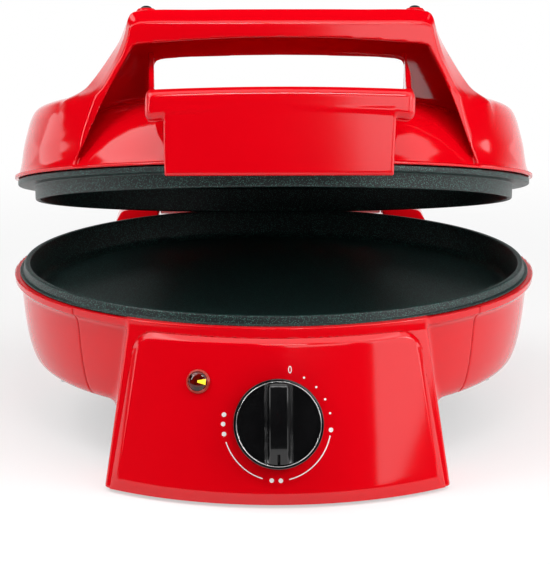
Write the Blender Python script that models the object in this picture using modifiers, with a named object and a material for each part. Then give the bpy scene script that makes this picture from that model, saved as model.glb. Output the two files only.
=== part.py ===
"""Electric pizza maker: a round bowl with a control panel in front, a hinged lid with a bridge handle,
two non-stick pans and the heating parts between them. Metres, +Z up, +Y to the back, table at zero."""

import math

import bmesh
import bpy
from mathutils import Matrix, Vector

# Driving dimensions. Heights in the base are above the table; heights in the lid are above the
# parting plane, which is the crest of the lower pan. The round pieces take their size from the pan.
PARTING_HEIGHT = 0.102
PAN_RADIUS = 0.152
FLANGE_MARGIN = 0.0094
BOWL_RADIUS = PAN_RADIUS + FLANGE_MARGIN
CREST_RISE = 0.006
BOWL_RIM_HEIGHT = PARTING_HEIGHT - CREST_RISE
BOWL_BOTTOM_HEIGHT = 0.0402
LID_MARGIN = 0.0008
LID_RADIUS = BOWL_RADIUS - LID_MARGIN
LID_FOOT_STAND = 0.0035
HOOD_HEIGHT = PARTING_HEIGHT - LID_FOOT_STAND
LID_HEIGHT_SHARE = 0.532
LID_HEIGHT = HOOD_HEIGHT * LID_HEIGHT_SHARE
REST_TILT = math.radians(14.15)
BOWL_SETBACK = 0.0087
HINGE_SETBACK = 0.016
PLASTIC_WALL = 0.0025
SHEET_WALL = 0.0018
SEAM_GAP = 0.0003
RUNNING_GAP = 0.0002
OVERRUN = 0.004
MERGE_DISTANCE = 0.00001
SHARP_ANGLE = math.radians(35)
TURN_STEPS = 40
SMALL_STEPS = 24

# The control panel is part of a leaning cylinder: its bottom stands further out than its top. Its
# widths are shares of the bowl's radius, so that it stays between the seams.
PANEL_BEND_SHARE = 1.01
PANEL_TOP_SHARE = 0.5316
PANEL_BOTTOM_SHARE = 0.6121
PANEL_RADIUS = BOWL_RADIUS * PANEL_BEND_SHARE
PANEL_DROP = 0.0055
PANEL_TOP_HEIGHT = BOWL_RIM_HEIGHT - PANEL_DROP
PANEL_BOTTOM_HEIGHT = 0.002
PANEL_TOP_HALF_WIDTH = BOWL_RADIUS * PANEL_TOP_SHARE
PANEL_BOTTOM_HALF_WIDTH = BOWL_RADIUS * PANEL_BOTTOM_SHARE
PANEL_LEAN_OUT = 0.0286
PANEL_LEAN = math.atan2(PANEL_LEAN_OUT, BOWL_RIM_HEIGHT - PANEL_BOTTOM_HEIGHT)
FASCIA_EDGE = 0.0032
SEAM_ANGLE = math.radians(47.5)

HINGE_Y = LID_RADIUS + HINGE_SETBACK
EAR_RADIUS = 0.008
PIN_RADIUS = 0.003
KNUCKLE_HALF_WIDTH = 0.0765
KNOB_RADIUS = 0.0257
KNOB_HEIGHT = 0.017
KNOB_CENTRE_SHARE = 0.4972
KNOB_CENTRE_HEIGHT = PANEL_TOP_HEIGHT * KNOB_CENTRE_SHARE
FOOT_STEM_RADIUS = 0.004
COVER_FLANGE = 0.0024
LAMP_SHARES = (-0.2732, 0.7348)
LAMP_X = BOWL_RADIUS * LAMP_SHARES[0]
LAMP_HEIGHT = PANEL_TOP_HEIGHT * LAMP_SHARES[1]
LAMP_RADIUS = 0.0064
LAMP_STEM_RADIUS = 0.0045
LAMP_SEAT = 0.0004


def clear_scene():
    for old in list(bpy.data.objects):
        bpy.data.objects.remove(old, do_unlink=True)


def new_collection(name):
    collection = bpy.data.collections.new(name)
    bpy.context.scene.collection.children.link(collection)
    return collection


def new_material(name, colour, roughness, metallic=0.0):
    """A plain Principled finish; the colour is linear red, green and blue."""
    material = bpy.data.materials.new(name)
    material.use_nodes = True
    shader = material.node_tree.nodes["Principled BSDF"]
    shader.inputs["Base Color"].default_value = (*colour, 1.0)
    shader.inputs["Roughness"].default_value = roughness
    shader.inputs["Metallic"].default_value = metallic
    return material


def new_frame(name, location, parent=None, turn=0.0):
    """An empty that carries the pieces of one body."""
    frame = bpy.data.objects.new(name, None)
    PARTS.objects.link(frame)
    frame.location = location
    frame.rotation_euler.x = turn
    frame.parent = parent
    return frame


def add_piece(name, mesh, finish, carrier, location=(0, 0, 0)):
    piece = bpy.data.objects.new(name, mesh)
    if finish is None:
        CUTTERS.objects.link(piece)
        piece.hide_render = True
        piece.display_type = "WIRE"
    else:
        PARTS.objects.link(piece)
        mesh.materials.append(finish)
    piece.parent = carrier
    piece.location = location
    return piece


def mesh_from(name, work):
    bmesh.ops.recalc_face_normals(work, faces=work.faces)
    for face in work.faces:
        face.smooth = True
    mesh = bpy.data.meshes.new(name)
    work.to_mesh(mesh)
    work.free()
    mesh.set_sharp_from_angle(angle=SHARP_ANGLE)
    return mesh



def turned(name, profile, finish, carrier, closed=True, steps=TURN_STEPS):
    """A profile of (radius, height) points turned about Z. A closed profile makes a ring; an open one
    starts and ends on the axis."""
    mesh = bpy.data.meshes.new(name)
    points = [(radius, 0, height) for radius, height in profile]
    edges = [(i, i + 1) for i in range(len(points) - 1)]
    if closed:
        edges.append((len(points) - 1, 0))
    mesh.from_pydata(points, edges, [])
    piece = add_piece(name, mesh, finish, carrier)
    screw = piece.modifiers.new("Turn", "SCREW")
    screw.steps = steps
    screw.render_steps = steps
    screw.use_merge_vertices = True
    screw.merge_threshold = MERGE_DISTANCE
    screw.use_normal_calculate = False
    return piece



def lofted(name, rings, finish, carrier):
    """A closed skin over rings of equal count, with a flat cap at each end."""
    work = bmesh.new()
    rows = [[work.verts.new(point) for point in ring] for ring in rings]
    for low, high in zip(rows, rows[1:]):
        for i in range(len(low)):
            after = (i + 1) % len(low)
            work.faces.new((low[i], low[after], high[after], high[i]))
    work.faces.new(rows[0])
    work.faces.new(rows[-1])
    return add_piece(name, mesh_from(name, work), finish, carrier)


def box(name, low, high, finish, carrier):
    work = bmesh.new()
    centre = (Vector(low) + Vector(high)) / 2
    size = Vector(high) - Vector(low)
    place = Matrix.Translation(centre) @ Matrix.Diagonal((*size, 1))
    bmesh.ops.create_cube(work, size=1, matrix=place)
    return add_piece(name, mesh_from(name, work), finish, carrier)


def rod(name, radius, start, end, finish, carrier, end_radius=None, steps=SMALL_STEPS):
    """A round bar, or a cone, between two points."""
    work = bmesh.new()
    start, end = Vector(start), Vector(end)
    along = end - start
    place = Matrix.Translation((start + end) / 2) @ along.to_track_quat("Z", "Y").to_matrix().to_4x4()
    far = radius if end_radius is None else end_radius
    bmesh.ops.create_cone(work, cap_ends=True, segments=steps, radius1=radius, radius2=far,
                          depth=along.length, matrix=place)
    return add_piece(name, mesh_from(name, work), finish, carrier)


def meshed_curve(name, curve, place, finish, carrier):
    """The evaluated mesh of a curve, with its caps welded."""
    guide = bpy.data.objects.new(name + "_curve", curve)
    bpy.context.scene.collection.objects.link(guide)
    graph = bpy.context.evaluated_depsgraph_get()
    mesh = bpy.data.meshes.new_from_object(guide.evaluated_get(graph))
    mesh.name = name
    bpy.data.objects.remove(guide, do_unlink=True)
    work = bmesh.new()
    work.from_mesh(mesh)
    bmesh.ops.remove_doubles(work, verts=work.verts, dist=MERGE_DISTANCE)
    bmesh.ops.transform(work, matrix=place, verts=work.verts)
    bmesh.ops.recalc_face_normals(work, faces=work.faces)
    work.to_mesh(mesh)
    work.free()
    mesh.materials.clear()
    return add_piece(name, mesh, finish, carrier)


def flat_piece(name, outline, thickness, place, finish, carrier):
    """A plate of the outline's shape, centred on its thickness, set in the given place."""
    curve = bpy.data.curves.new(name, "CURVE")
    curve.dimensions = "2D"
    curve.fill_mode = "BOTH"
    curve.extrude = thickness / 2
    spline = curve.splines.new("POLY")
    spline.points.add(len(outline) - 1)
    for point, (across, up) in zip(spline.points, outline):
        point.co = (across, up, 0, 1)
    spline.use_cyclic_u = True
    return meshed_curve(name, curve, place, finish, carrier)


def tube(name, points, radius, finish, carrier, resolution=2):
    """A bent bar along a run of points."""
    curve = bpy.data.curves.new(name, "CURVE")
    curve.dimensions = "3D"
    curve.bevel_depth = radius
    curve.bevel_resolution = resolution
    curve.use_fill_caps = True
    spline = curve.splines.new("POLY")
    spline.points.add(len(points) - 1)
    for point, place in zip(spline.points, points):
        point.co = (*place, 1)
    return meshed_curve(name, curve, Matrix.Identity(4), finish, carrier)


def combine(piece, other, operation):
    step = piece.modifiers.new(operation.title() + " " + other.name, "BOOLEAN")
    step.operation = operation
    step.object = other
    return piece


def cut(piece, *cutters):
    for cutter in cutters:
        combine(piece, cutter, "DIFFERENCE")
    return piece


def join(piece, *others):
    for other in others:
        combine(piece, other, "UNION")
    return piece


def upright_plane(x):
    """The place of a flat outline whose axes are Y and Z, at a distance X from the middle."""
    return Matrix(((0, 0, 1, x), (1, 0, 0, 0), (0, 1, 0, 0), (0, 0, 0, 1)))


def facing_plane(y):
    """The place of a flat outline whose axes are X and Z, at a distance Y."""
    return Matrix(((1, 0, 0, 0), (0, 0, -1, y), (0, 1, 0, 0), (0, 0, 0, 1)))


def level_plane(z):
    """The place of a flat outline whose axes are X and Y, at a height Z."""
    return Matrix.Translation((0, 0, z))


def scaled(shares, width, height):
    return [(across * width, up * height) for across, up in shares]


def shrunk(points, wall):
    """The inner side of a profile that runs from its rim to the axis over the top, a wall away."""
    inner = []
    for i, point in enumerate(points):
        along = Vector(points[min(i + 1, len(points) - 1)]) - Vector(points[max(i - 1, 0)])
        along.normalize()
        inner.append((point[0] - along.y * wall, point[1] + along.x * wall))
    return inner


def disc(name, radius, low, high, carrier):
    """A cutter: an upright cylinder on the axis with the facets of the turned pieces."""
    profile = [(0, high), (radius, high), (radius, low), (0, low)]
    return turned(name, profile, None, carrier, closed=False)


# Bowl wall from the flange down to the bottom edge, as shares of its radius and of the drop to the edge.
BOWL_WALL_SHARES = (
    (0.998, 0.93), (0.978, 0.868), (0.973, 0.80), (0.966, 0.60), (0.957, 0.40),
    (0.944, 0.22), (0.926, 0.085), (0.903, 0.018), (0.882, 0.0),
)
BOWL_LIP_SHARE = 0.855
BOWL_LIP_RADIUS = BOWL_RADIUS * BOWL_LIP_SHARE
NECK_MARGIN = 0.0029
BOWL_NECK_RADIUS = PAN_RADIUS + NECK_MARGIN
BOWL_DROP = BOWL_RIM_HEIGHT - BOWL_BOTTOM_HEIGHT


def bowl_wall(inward=0.0):
    """The bowl's side from top to bottom, or its inner side when moved inward by a wall's thickness."""
    outside = [(radius * BOWL_RADIUS, BOWL_BOTTOM_HEIGHT + drop * BOWL_DROP)
               for radius, drop in BOWL_WALL_SHARES]
    upside_down = [(radius, -height) for radius, height in outside]
    return [(radius, -height) for radius, height in shrunk(upside_down, inward)]


def bowl_inside(wall):
    """The bowl's inner side from the neck down to the top of the turned-in lip."""
    lip_top = BOWL_BOTTOM_HEIGHT + wall
    inside = [(radius, height) for radius, height in bowl_wall(wall)
              if radius < BOWL_NECK_RADIUS and height > lip_top + PLASTIC_WALL / 2]
    return [(BOWL_NECK_RADIUS, BOWL_RIM_HEIGHT)] + inside + [(inside[-1][0] - wall, lip_top)]


def bowl_profile():
    outside = [(BOWL_RADIUS, BOWL_RIM_HEIGHT)] + bowl_wall() + [(BOWL_LIP_RADIUS, BOWL_BOTTOM_HEIGHT)]
    lip_top = (BOWL_LIP_RADIUS, BOWL_BOTTOM_HEIGHT + PLASTIC_WALL)
    return outside + [lip_top] + bowl_inside(PLASTIC_WALL)[::-1]


def seam_wedge(name, side_gap):
    """The front sector, between the two seams, widened or narrowed by a gap at its sides."""
    reach = 2 * BOWL_RADIUS
    apex = side_gap / math.sin(SEAM_ANGLE)
    corner = (reach * math.sin(SEAM_ANGLE), apex - reach * math.cos(SEAM_ANGLE))
    outline = [(0, apex), (-corner[0], corner[1]), (0, corner[1] - reach), corner]
    tall = 2 * PARTING_HEIGHT
    return flat_piece(name, outline, tall, level_plane(PARTING_HEIGHT), None, BASE)


EAR_INNER_X = KNUCKLE_HALF_WIDTH + SEAM_GAP
EAR_OUTER_X = 0.097
EAR_TOE_X = 0.107
EAR_REACH = 0.0276
EAR_FRONT_Y = HINGE_Y - EAR_REACH
EAR_DROP = 0.03
EAR_FOOT_HEIGHT = PARTING_HEIGHT - EAR_DROP
EAR_TOE_DROP = 0.012
EAR_TOE_SHARE = 0.5
EAR_ARC_POINTS = 9


def ear_ring(side, x, size_share, drop):
    """One side view of a hinge ear: a rounded lug over the hinge axis, standing on the bowl's wall."""
    radius = EAR_RADIUS * size_share
    centre_z = PARTING_HEIGHT - drop
    arc = []
    for i in range(EAR_ARC_POINTS):
        angle = math.pi * i / (EAR_ARC_POINTS - 1)
        arc.append((HINGE_Y + radius * math.cos(angle), centre_z + radius * math.sin(angle)))
    wall_y = math.sqrt((BOWL_RADIUS * BOWL_WALL_SHARES[3][0]) ** 2 - EAR_TOE_X ** 2)
    outline = arc + [(EAR_FRONT_Y, centre_z), (wall_y, EAR_FOOT_HEIGHT)]
    return [(side * x, y, z) for y, z in outline]


def hinge_ear(side):
    stations = ((EAR_INNER_X, 1.0, 0.0), (EAR_OUTER_X, 1.0, 0.0), (EAR_TOE_X, EAR_TOE_SHARE, EAR_TOE_DROP))
    rings = [ear_ring(side, x, share, drop) for x, share, drop in stations]
    label = "left" if side < 0 else "right"
    return lofted("ear_block_" + label, rings, None, BASE)


PIN_BITE = 0.016
PIN_INNER_X = 0.0645


def hinge_pin(side):
    """A steel pin pressed in the ear, whose inner end turns in the lid's bush."""
    label = "left" if side < 0 else "right"
    axis = Vector((0, HINGE_Y, PARTING_HEIGHT))
    inner = axis + Vector((side * PIN_INNER_X, 0, 0))
    outer = axis + Vector((side * (EAR_INNER_X + PIN_BITE), 0, 0))
    past = Vector((side * SEAM_GAP, 0, 0))
    bore = rod("ear_bore_" + label, PIN_RADIUS + RUNNING_GAP, inner, outer + past, None, BASE)
    rod("hinge_pin_" + label, PIN_RADIUS, inner, outer, STEEL, BASE)
    return bore


GLAND_WALL_POINT = 4
GLAND_NECK_RADIUS = 0.0058
GLAND_FLANGE_RADIUS = 0.009
GLAND_BORE_RADIUS = 0.0037
GLAND_FLANGE = 0.0022
GLAND_GRIP_CLEARANCE = 0.0017


def cord_gland():
    """A rubber grommet for the mains lead, seated square to the wall in a hole in the back of the bowl."""
    wall = bowl_wall()
    above, here, below = (Vector(wall[GLAND_WALL_POINT + step]) for step in (-1, 0, 1))
    tilt = math.atan2(above.x - below.x, above.y - below.y)
    outward = Vector((0, math.cos(tilt), -math.sin(tilt)))
    middle = Vector((0, here.x, here.y)) - outward * PLASTIC_WALL / 2
    hole = rod("gland_hole", GLAND_NECK_RADIUS + SEAM_GAP, middle - outward * GLAND_FLANGE_RADIUS,
               middle + outward * GLAND_FLANGE_RADIUS, None, BASE)
    half = (PLASTIC_WALL + GLAND_GRIP_CLEARANCE) / 2
    profile = [
        (GLAND_BORE_RADIUS, half + GLAND_FLANGE), (GLAND_FLANGE_RADIUS, half + GLAND_FLANGE),
        (GLAND_FLANGE_RADIUS, half), (GLAND_NECK_RADIUS, half), (GLAND_NECK_RADIUS, -half),
        (GLAND_FLANGE_RADIUS, -half), (GLAND_FLANGE_RADIUS, -half - GLAND_FLANGE),
        (GLAND_BORE_RADIUS, -half - GLAND_FLANGE),
    ]
    gland = turned("cord_gland", profile, RUBBER, BASE, steps=SMALL_STEPS)
    gland.location = middle
    gland.rotation_euler.x = -math.pi / 2 - tilt
    return hole


COVER_SCREW_ANGLES = tuple(math.radians(degrees) for degrees in (35, 145, 205, 335))
COVER_SCREW_MARGIN = 0.0025
COVER_SCREW_CIRCLE = BOWL_LIP_RADIUS + COVER_SCREW_MARGIN
SCREW_RADIUS = 0.0015
SCREW_HEAD_RADIUS = 0.0028
SCREW_HEAD = 0.0016


def screw(name, head_at, direction, shank, carrier):
    """A pan-head screw: its head's outer face at a point, its shank in a direction."""
    direction = Vector(direction)
    start = Vector(head_at)
    neck = start + direction * SCREW_HEAD
    head = rod(name, SCREW_HEAD_RADIUS, start, neck, STEEL, carrier, steps=SMALL_STEPS // 2)
    stem = rod(name + "_stem", SCREW_RADIUS, neck - direction * SCREW_HEAD / 2,
               neck + direction * shank, None, carrier, steps=SMALL_STEPS // 2)
    return join(head, stem)


def cover_screw_holes(radius, prefix):
    """Upright holes on the circle of the cover's screws, through the lip and the cover."""
    holes = []
    for i, angle in enumerate(COVER_SCREW_ANGLES):
        foot = Vector((COVER_SCREW_CIRCLE * math.cos(angle), COVER_SCREW_CIRCLE * math.sin(angle),
                       BOWL_BOTTOM_HEIGHT - OVERRUN))
        top = foot + Vector((0, 0, PLASTIC_WALL + COVER_FLANGE + OVERRUN * 2))
        holes.append(rod(f"{prefix}_{i + 1}", radius, foot, top, None, BASE, steps=SMALL_STEPS // 2))
    return holes


def base_shell():
    """The round bowl without its front sector, with the two hinge ears at the back."""
    shell = turned("base_shell", bowl_profile(), RED, BASE)
    cut(shell, seam_wedge("shell_wedge", SEAM_GAP / 2))
    neck = disc("bowl_neck", BOWL_NECK_RADIUS - SEAM_GAP, 0, PARTING_HEIGHT * 2, BASE)
    rim_clearance = disc("rim_clearance", BOWL_RADIUS + SEAM_GAP, BOWL_RIM_HEIGHT - SEAM_GAP,
                         PARTING_HEIGHT * 2, BASE)
    for side in (-1, 1):
        ear = cut(hinge_ear(side), neck, rim_clearance)
        join(shell, ear)
        cut(shell, hinge_pin(side))
    cut(shell, cord_gland())
    cut(shell, *cover_screw_holes(SCREW_RADIUS + RUNNING_GAP, "lip_hole"))


def panel_half_width(height):
    down = (PANEL_TOP_HEIGHT - height) / (PANEL_TOP_HEIGHT - PANEL_BOTTOM_HEIGHT)
    return PANEL_TOP_HALF_WIDTH + (PANEL_BOTTOM_HALF_WIDTH - PANEL_TOP_HALF_WIDTH) * down


def panel_front_y(height):
    """How far forward the middle of the panel is at a height."""
    down = (BOWL_RIM_HEIGHT - height) / (BOWL_RIM_HEIGHT - PANEL_BOTTOM_HEIGHT)
    return -BOWL_RADIUS - PANEL_LEAN_OUT * down


def panel_point(x, out, height):
    """A point of the flat panel drawing, bent on to the leaning cylinder."""
    angle = math.asin(x / PANEL_RADIUS)
    y = panel_front_y(height) + PANEL_RADIUS * (1 - math.cos(angle))
    return Vector((x, y, height)) + out * panel_normal(x)


def panel_normal(x):
    angle = math.asin(x / PANEL_RADIUS)
    level = math.cos(PANEL_LEAN)
    return Vector((math.sin(angle) * level, -math.cos(angle) * level, math.sin(PANEL_LEAN)))


BEND_STRIPS = 16


def bend_to_panel(piece):
    """Cuts a flat piece into upright strips and lays them on the panel's cylinder."""
    work = bmesh.new()
    work.from_mesh(piece.data)
    reach = max(abs(vertex.co.x) for vertex in work.verts)
    for i in range(1, BEND_STRIPS):
        x = reach * (2 * i / BEND_STRIPS - 1)
        everything = work.verts[:] + work.edges[:] + work.faces[:]
        bmesh.ops.bisect_plane(work, geom=everything, plane_co=(x, 0, 0), plane_no=(1, 0, 0),
                               dist=MERGE_DISTANCE)
    for vertex in work.verts:
        vertex.co = panel_point(vertex.co.x, -vertex.co.y, vertex.co.z)
    work.to_mesh(piece.data)
    work.free()
    return piece


PANEL_CORNER_RADIUS = 0.012
PANEL_CORNER_POINTS = 5
PANEL_THICKNESS = 0.0025
PANEL_STRIP = 0.0034
PANEL_STRIP_RISE = 0.0004
PANEL_CHAMFER = 0.0042
PANEL_RAISE = 0.0024


def panel_outline(side_inset, top_inset, bottom_inset):
    """The panel's outline, drawn inward by an inset: sharp corners below, round ones above."""
    low = PANEL_BOTTOM_HEIGHT + bottom_inset
    high = PANEL_TOP_HEIGHT - top_inset
    edge = FASCIA_EDGE + SEAM_GAP + side_inset
    radius = PANEL_CORNER_RADIUS - side_inset / 2
    half_low = panel_half_width(low) - edge
    half_high = panel_half_width(high) - edge
    right = [(half_low, low)]
    for i in range(PANEL_CORNER_POINTS):
        angle = math.pi / 2 * i / (PANEL_CORNER_POINTS - 1)
        right.append((half_high - radius + radius * math.cos(angle),
                      high - radius + radius * math.sin(angle)))
    return right + [(-x, z) for x, z in right[::-1]]


KNOB_BOSS_RADIUS = 0.023
KNOB_BOSS_RISE = 0.0006
BUSHING_RADIUS = 0.0048
SHAFT_RADIUS = 0.003


def along_normal(x, height, out):
    return panel_point(x, 0, height) + out * panel_normal(x)


def control_panel():
    """The raised panel with its chamfered border, bent to the front, and the flat boss behind the knob."""
    insets = (
        (0.0, 0.0, 0.0, -PANEL_THICKNESS), (0.0, 0.0, 0.0, 0.0),
        (PANEL_STRIP, PANEL_STRIP, PANEL_STRIP_RISE, PANEL_STRIP_RISE),
        (PANEL_STRIP + PANEL_CHAMFER, PANEL_STRIP + PANEL_CHAMFER, PANEL_CHAMFER, PANEL_RAISE),
    )
    rings = [[(x, -out, z) for x, z in panel_outline(side, top, bottom)]
             for side, top, bottom, out in insets]
    panel = bend_to_panel(lofted("control_panel", rings, RED, BASE))
    boss_face = PANEL_RAISE + KNOB_BOSS_RISE
    boss = rod("knob_boss", KNOB_BOSS_RADIUS, along_normal(0, KNOB_CENTRE_HEIGHT, -PANEL_THICKNESS / 2),
               along_normal(0, KNOB_CENTRE_HEIGHT, boss_face), None, BASE, steps=TURN_STEPS // 2)
    join(panel, boss)
    shaft_hole = rod("shaft_hole", BUSHING_RADIUS + SEAM_GAP,
                     along_normal(0, KNOB_CENTRE_HEIGHT, -PANEL_THICKNESS - OVERRUN),
                     along_normal(0, KNOB_CENTRE_HEIGHT, boss_face + OVERRUN), None, BASE)
    lamp_hole = rod("lamp_hole", LAMP_STEM_RADIUS + SEAM_GAP,
                    along_normal(LAMP_X, LAMP_HEIGHT, -PANEL_THICKNESS - OVERRUN),
                    along_normal(LAMP_X, LAMP_HEIGHT, PANEL_RAISE + OVERRUN), None, BASE)
    cut(panel, shaft_hole, lamp_hole)


POD_BACK_SHARE = 0.694
POD_BACK_Y = -BOWL_RADIUS * POD_BACK_SHARE
POD_BACK_TAPER = 0.006
POD_ARC_POINTS = 13
POD_WALL = FASCIA_EDGE + 2 * SEAM_GAP
POD_LEVEL_SHARES = (0.0, 0.35, 0.7, 1.0)
HOLLOW_LEVEL_SHARES = ((-0.04, 0.0), (0.4, 0.0), (0.8, 0.0), (0.86, 0.32), (0.92, 0.8))


def pod_ring(height, inset, forward):
    """A level cut through the pod: the panel's arc in front, tapering sides and a straight back. The arc
    can be moved forward along the sides."""
    half = panel_half_width(height) - inset
    back = POD_BACK_Y - inset
    widening = POD_BACK_TAPER * forward / (back - panel_point(half, 0, height).y)
    front = []
    for i in range(POD_ARC_POINTS):
        across = 2 * i / (POD_ARC_POINTS - 1) - 1
        y = panel_point(half * across, 0, height).y - forward
        front.append(((half + widening) * across, y, height))
    return front + [(half - POD_BACK_TAPER, back, height), (POD_BACK_TAPER - half, back, height)]


def front_fascia():
    """The front moulding: the two cheeks beside the panel and the pod that stands on the table."""
    fascia = turned("front_fascia", bowl_profile(), RED, BASE)
    combine(fascia, seam_wedge("fascia_wedge", -SEAM_GAP / 2), "INTERSECT")
    low, high = PANEL_BOTTOM_HEIGHT, BOWL_RIM_HEIGHT - SEAM_GAP
    heights = [low + (high - low) * share for share in POD_LEVEL_SHARES]
    pod = lofted("pod_block", [pod_ring(height, 0.0, 0.0) for height in heights], None, BASE)
    half_wall = PLASTIC_WALL / 2
    core_top = (BOWL_NECK_RADIUS + half_wall, PARTING_HEIGHT)
    core_floor = BOWL_BOTTOM_HEIGHT + PLASTIC_WALL + SEAM_GAP
    core_side = [point for point in bowl_inside(half_wall)[1:] if point[1] > core_floor]
    core_side.append((core_side[-1][0] - PLASTIC_WALL, core_floor))
    core = turned("bowl_core", [(0, PARTING_HEIGHT), core_top] + core_side + [(0, core_floor)],
                  None, BASE, closed=False)
    cut(pod, core)
    join(fascia, pod)
    levels = [(low + (high - low) * up, POD_WALL + PANEL_CORNER_RADIUS * inset)
              for up, inset in HOLLOW_LEVEL_SHARES]
    inner = lofted("pod_hollow", [pod_ring(height, inset, PANEL_LEAN_OUT) for height, inset in levels],
                   None, BASE)
    rings = [[(x, y, z) for x, z in panel_outline(-SEAM_GAP, -SEAM_GAP, -OVERRUN)]
             for y in (PANEL_THICKNESS + SEAM_GAP, -PANEL_LEAN_OUT)]
    seat = bend_to_panel(lofted("panel_seat", rings, None, BASE))
    cut(fascia, join(inner, seat))


POD_FLOOR_HEIGHT = 0.0032


def foot_places():
    """Where the four rubber feet stand: two under the pod, two under the rear legs."""
    front_y = panel_front_y(POD_FLOOR_HEIGHT) + FRONT_FOOT_INSET
    return (
        ("front_left", -FRONT_FOOT_X, front_y, POD_FLOOR_HEIGHT),
        ("front_right", FRONT_FOOT_X, front_y, POD_FLOOR_HEIGHT),
        ("rear_left", -REAR_LEG_X, REAR_LEG_Y, LEG_BOTTOM),
        ("rear_right", REAR_LEG_X, REAR_LEG_Y, LEG_BOTTOM),
    )


FRONT_FOOT_SHARE = 0.4213
FRONT_FOOT_X = BOWL_RADIUS * FRONT_FOOT_SHARE
FRONT_FOOT_INSET = 0.036
REAR_LEG_SHARES = (0.5143, 0.5452)
REAR_LEG_X = BOWL_RADIUS * REAR_LEG_SHARES[0]
REAR_LEG_Y = BOWL_RADIUS * REAR_LEG_SHARES[1]
LEG_BOTTOM = 0.0032
LEG_TOP_RADIUS = 0.0155
LEG_BOTTOM_RADIUS = 0.011
FOOT_RADIUS = 0.0095
FOOT_STEM = 0.006


def pod_floor():
    """The plate that closes the pod below and carries the front feet."""
    heights = (POD_FLOOR_HEIGHT, POD_FLOOR_HEIGHT + PLASTIC_WALL)
    edge = POD_WALL + SEAM_GAP
    front_clearance = -PANEL_THICKNESS - SEAM_GAP * 4
    floor = lofted("pod_floor", [pod_ring(height, edge, front_clearance) for height in heights], BLACK, BASE)
    for label, x, y, height in foot_places()[:2]:
        cut(floor, rod("floor_hole_" + label, FOOT_STEM_RADIUS + RUNNING_GAP, (x, y, height - OVERRUN),
                       (x, y, height + OVERRUN + PLASTIC_WALL), None, BASE))


def rubber_feet():
    for label, x, y, height in foot_places():
        top = height - SEAM_GAP
        profile = [(0, height + FOOT_STEM), (FOOT_STEM_RADIUS, height + FOOT_STEM),
                   (FOOT_STEM_RADIUS, top), (FOOT_RADIUS, top), (FOOT_RADIUS, FOOT_ROUND),
                   (FOOT_RADIUS - FOOT_ROUND, 0), (0, 0)]
        foot = turned("rubber_foot_" + label, profile, RUBBER, BASE, closed=False, steps=SMALL_STEPS)
        foot.location = (x, y, 0)


FOOT_ROUND = 0.0008


def rear_legs():
    """Moulded legs under the bottom cover, hollow where the feet plug in."""
    for side, label in ((-1, "left"), (1, "right")):
        top = BOWL_BOTTOM_HEIGHT - SEAM_GAP
        stem_top = LEG_BOTTOM + FOOT_STEM + SEAM_GAP
        bore = FOOT_STEM_RADIUS + RUNNING_GAP
        profile = [(0, top), (LEG_TOP_RADIUS, top), (LEG_BOTTOM_RADIUS, LEG_BOTTOM), (bore, LEG_BOTTOM),
                   (bore, stem_top), (0, stem_top)]
        leg = turned("rear_leg_" + label, profile, BLACK, BASE, closed=False, steps=SMALL_STEPS)
        leg.location = (side * REAR_LEG_X, REAR_LEG_Y, 0)


COVER_LAP = 0.0063
COVER_FLANGE_RADIUS = BOWL_LIP_RADIUS + COVER_LAP
COVER_FLOOR_TOP = BOWL_BOTTOM_HEIGHT + PLASTIC_WALL
PAN_DEPTH = 0.018
PAN_FLOOR = PARTING_HEIGHT - PAN_DEPTH
REFLECTOR_DROP = 0.0168
REFLECTOR_HEIGHT = PAN_FLOOR - REFLECTOR_DROP
REFLECTOR_WALL = 0.0008
POST_CIRCLE_SHARE = 0.4079
POST_CIRCLE = PAN_RADIUS * POST_CIRCLE_SHARE
POST_RADIUS = 0.005
POST_COUNT = 3
VENT_COUNT = 6
VENT_CIRCLE_SHARE = 0.25
VENT_CIRCLE = PAN_RADIUS * VENT_CIRCLE_SHARE
VENT_RADIUS = 0.004
VENT_TURN = math.radians(20)


def circle_places(count, radius, turn=0.0):
    turns = [turn + 2 * math.pi * i / count for i in range(count)]
    return [(radius * math.cos(angle), radius * math.sin(angle)) for angle in turns]


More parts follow.
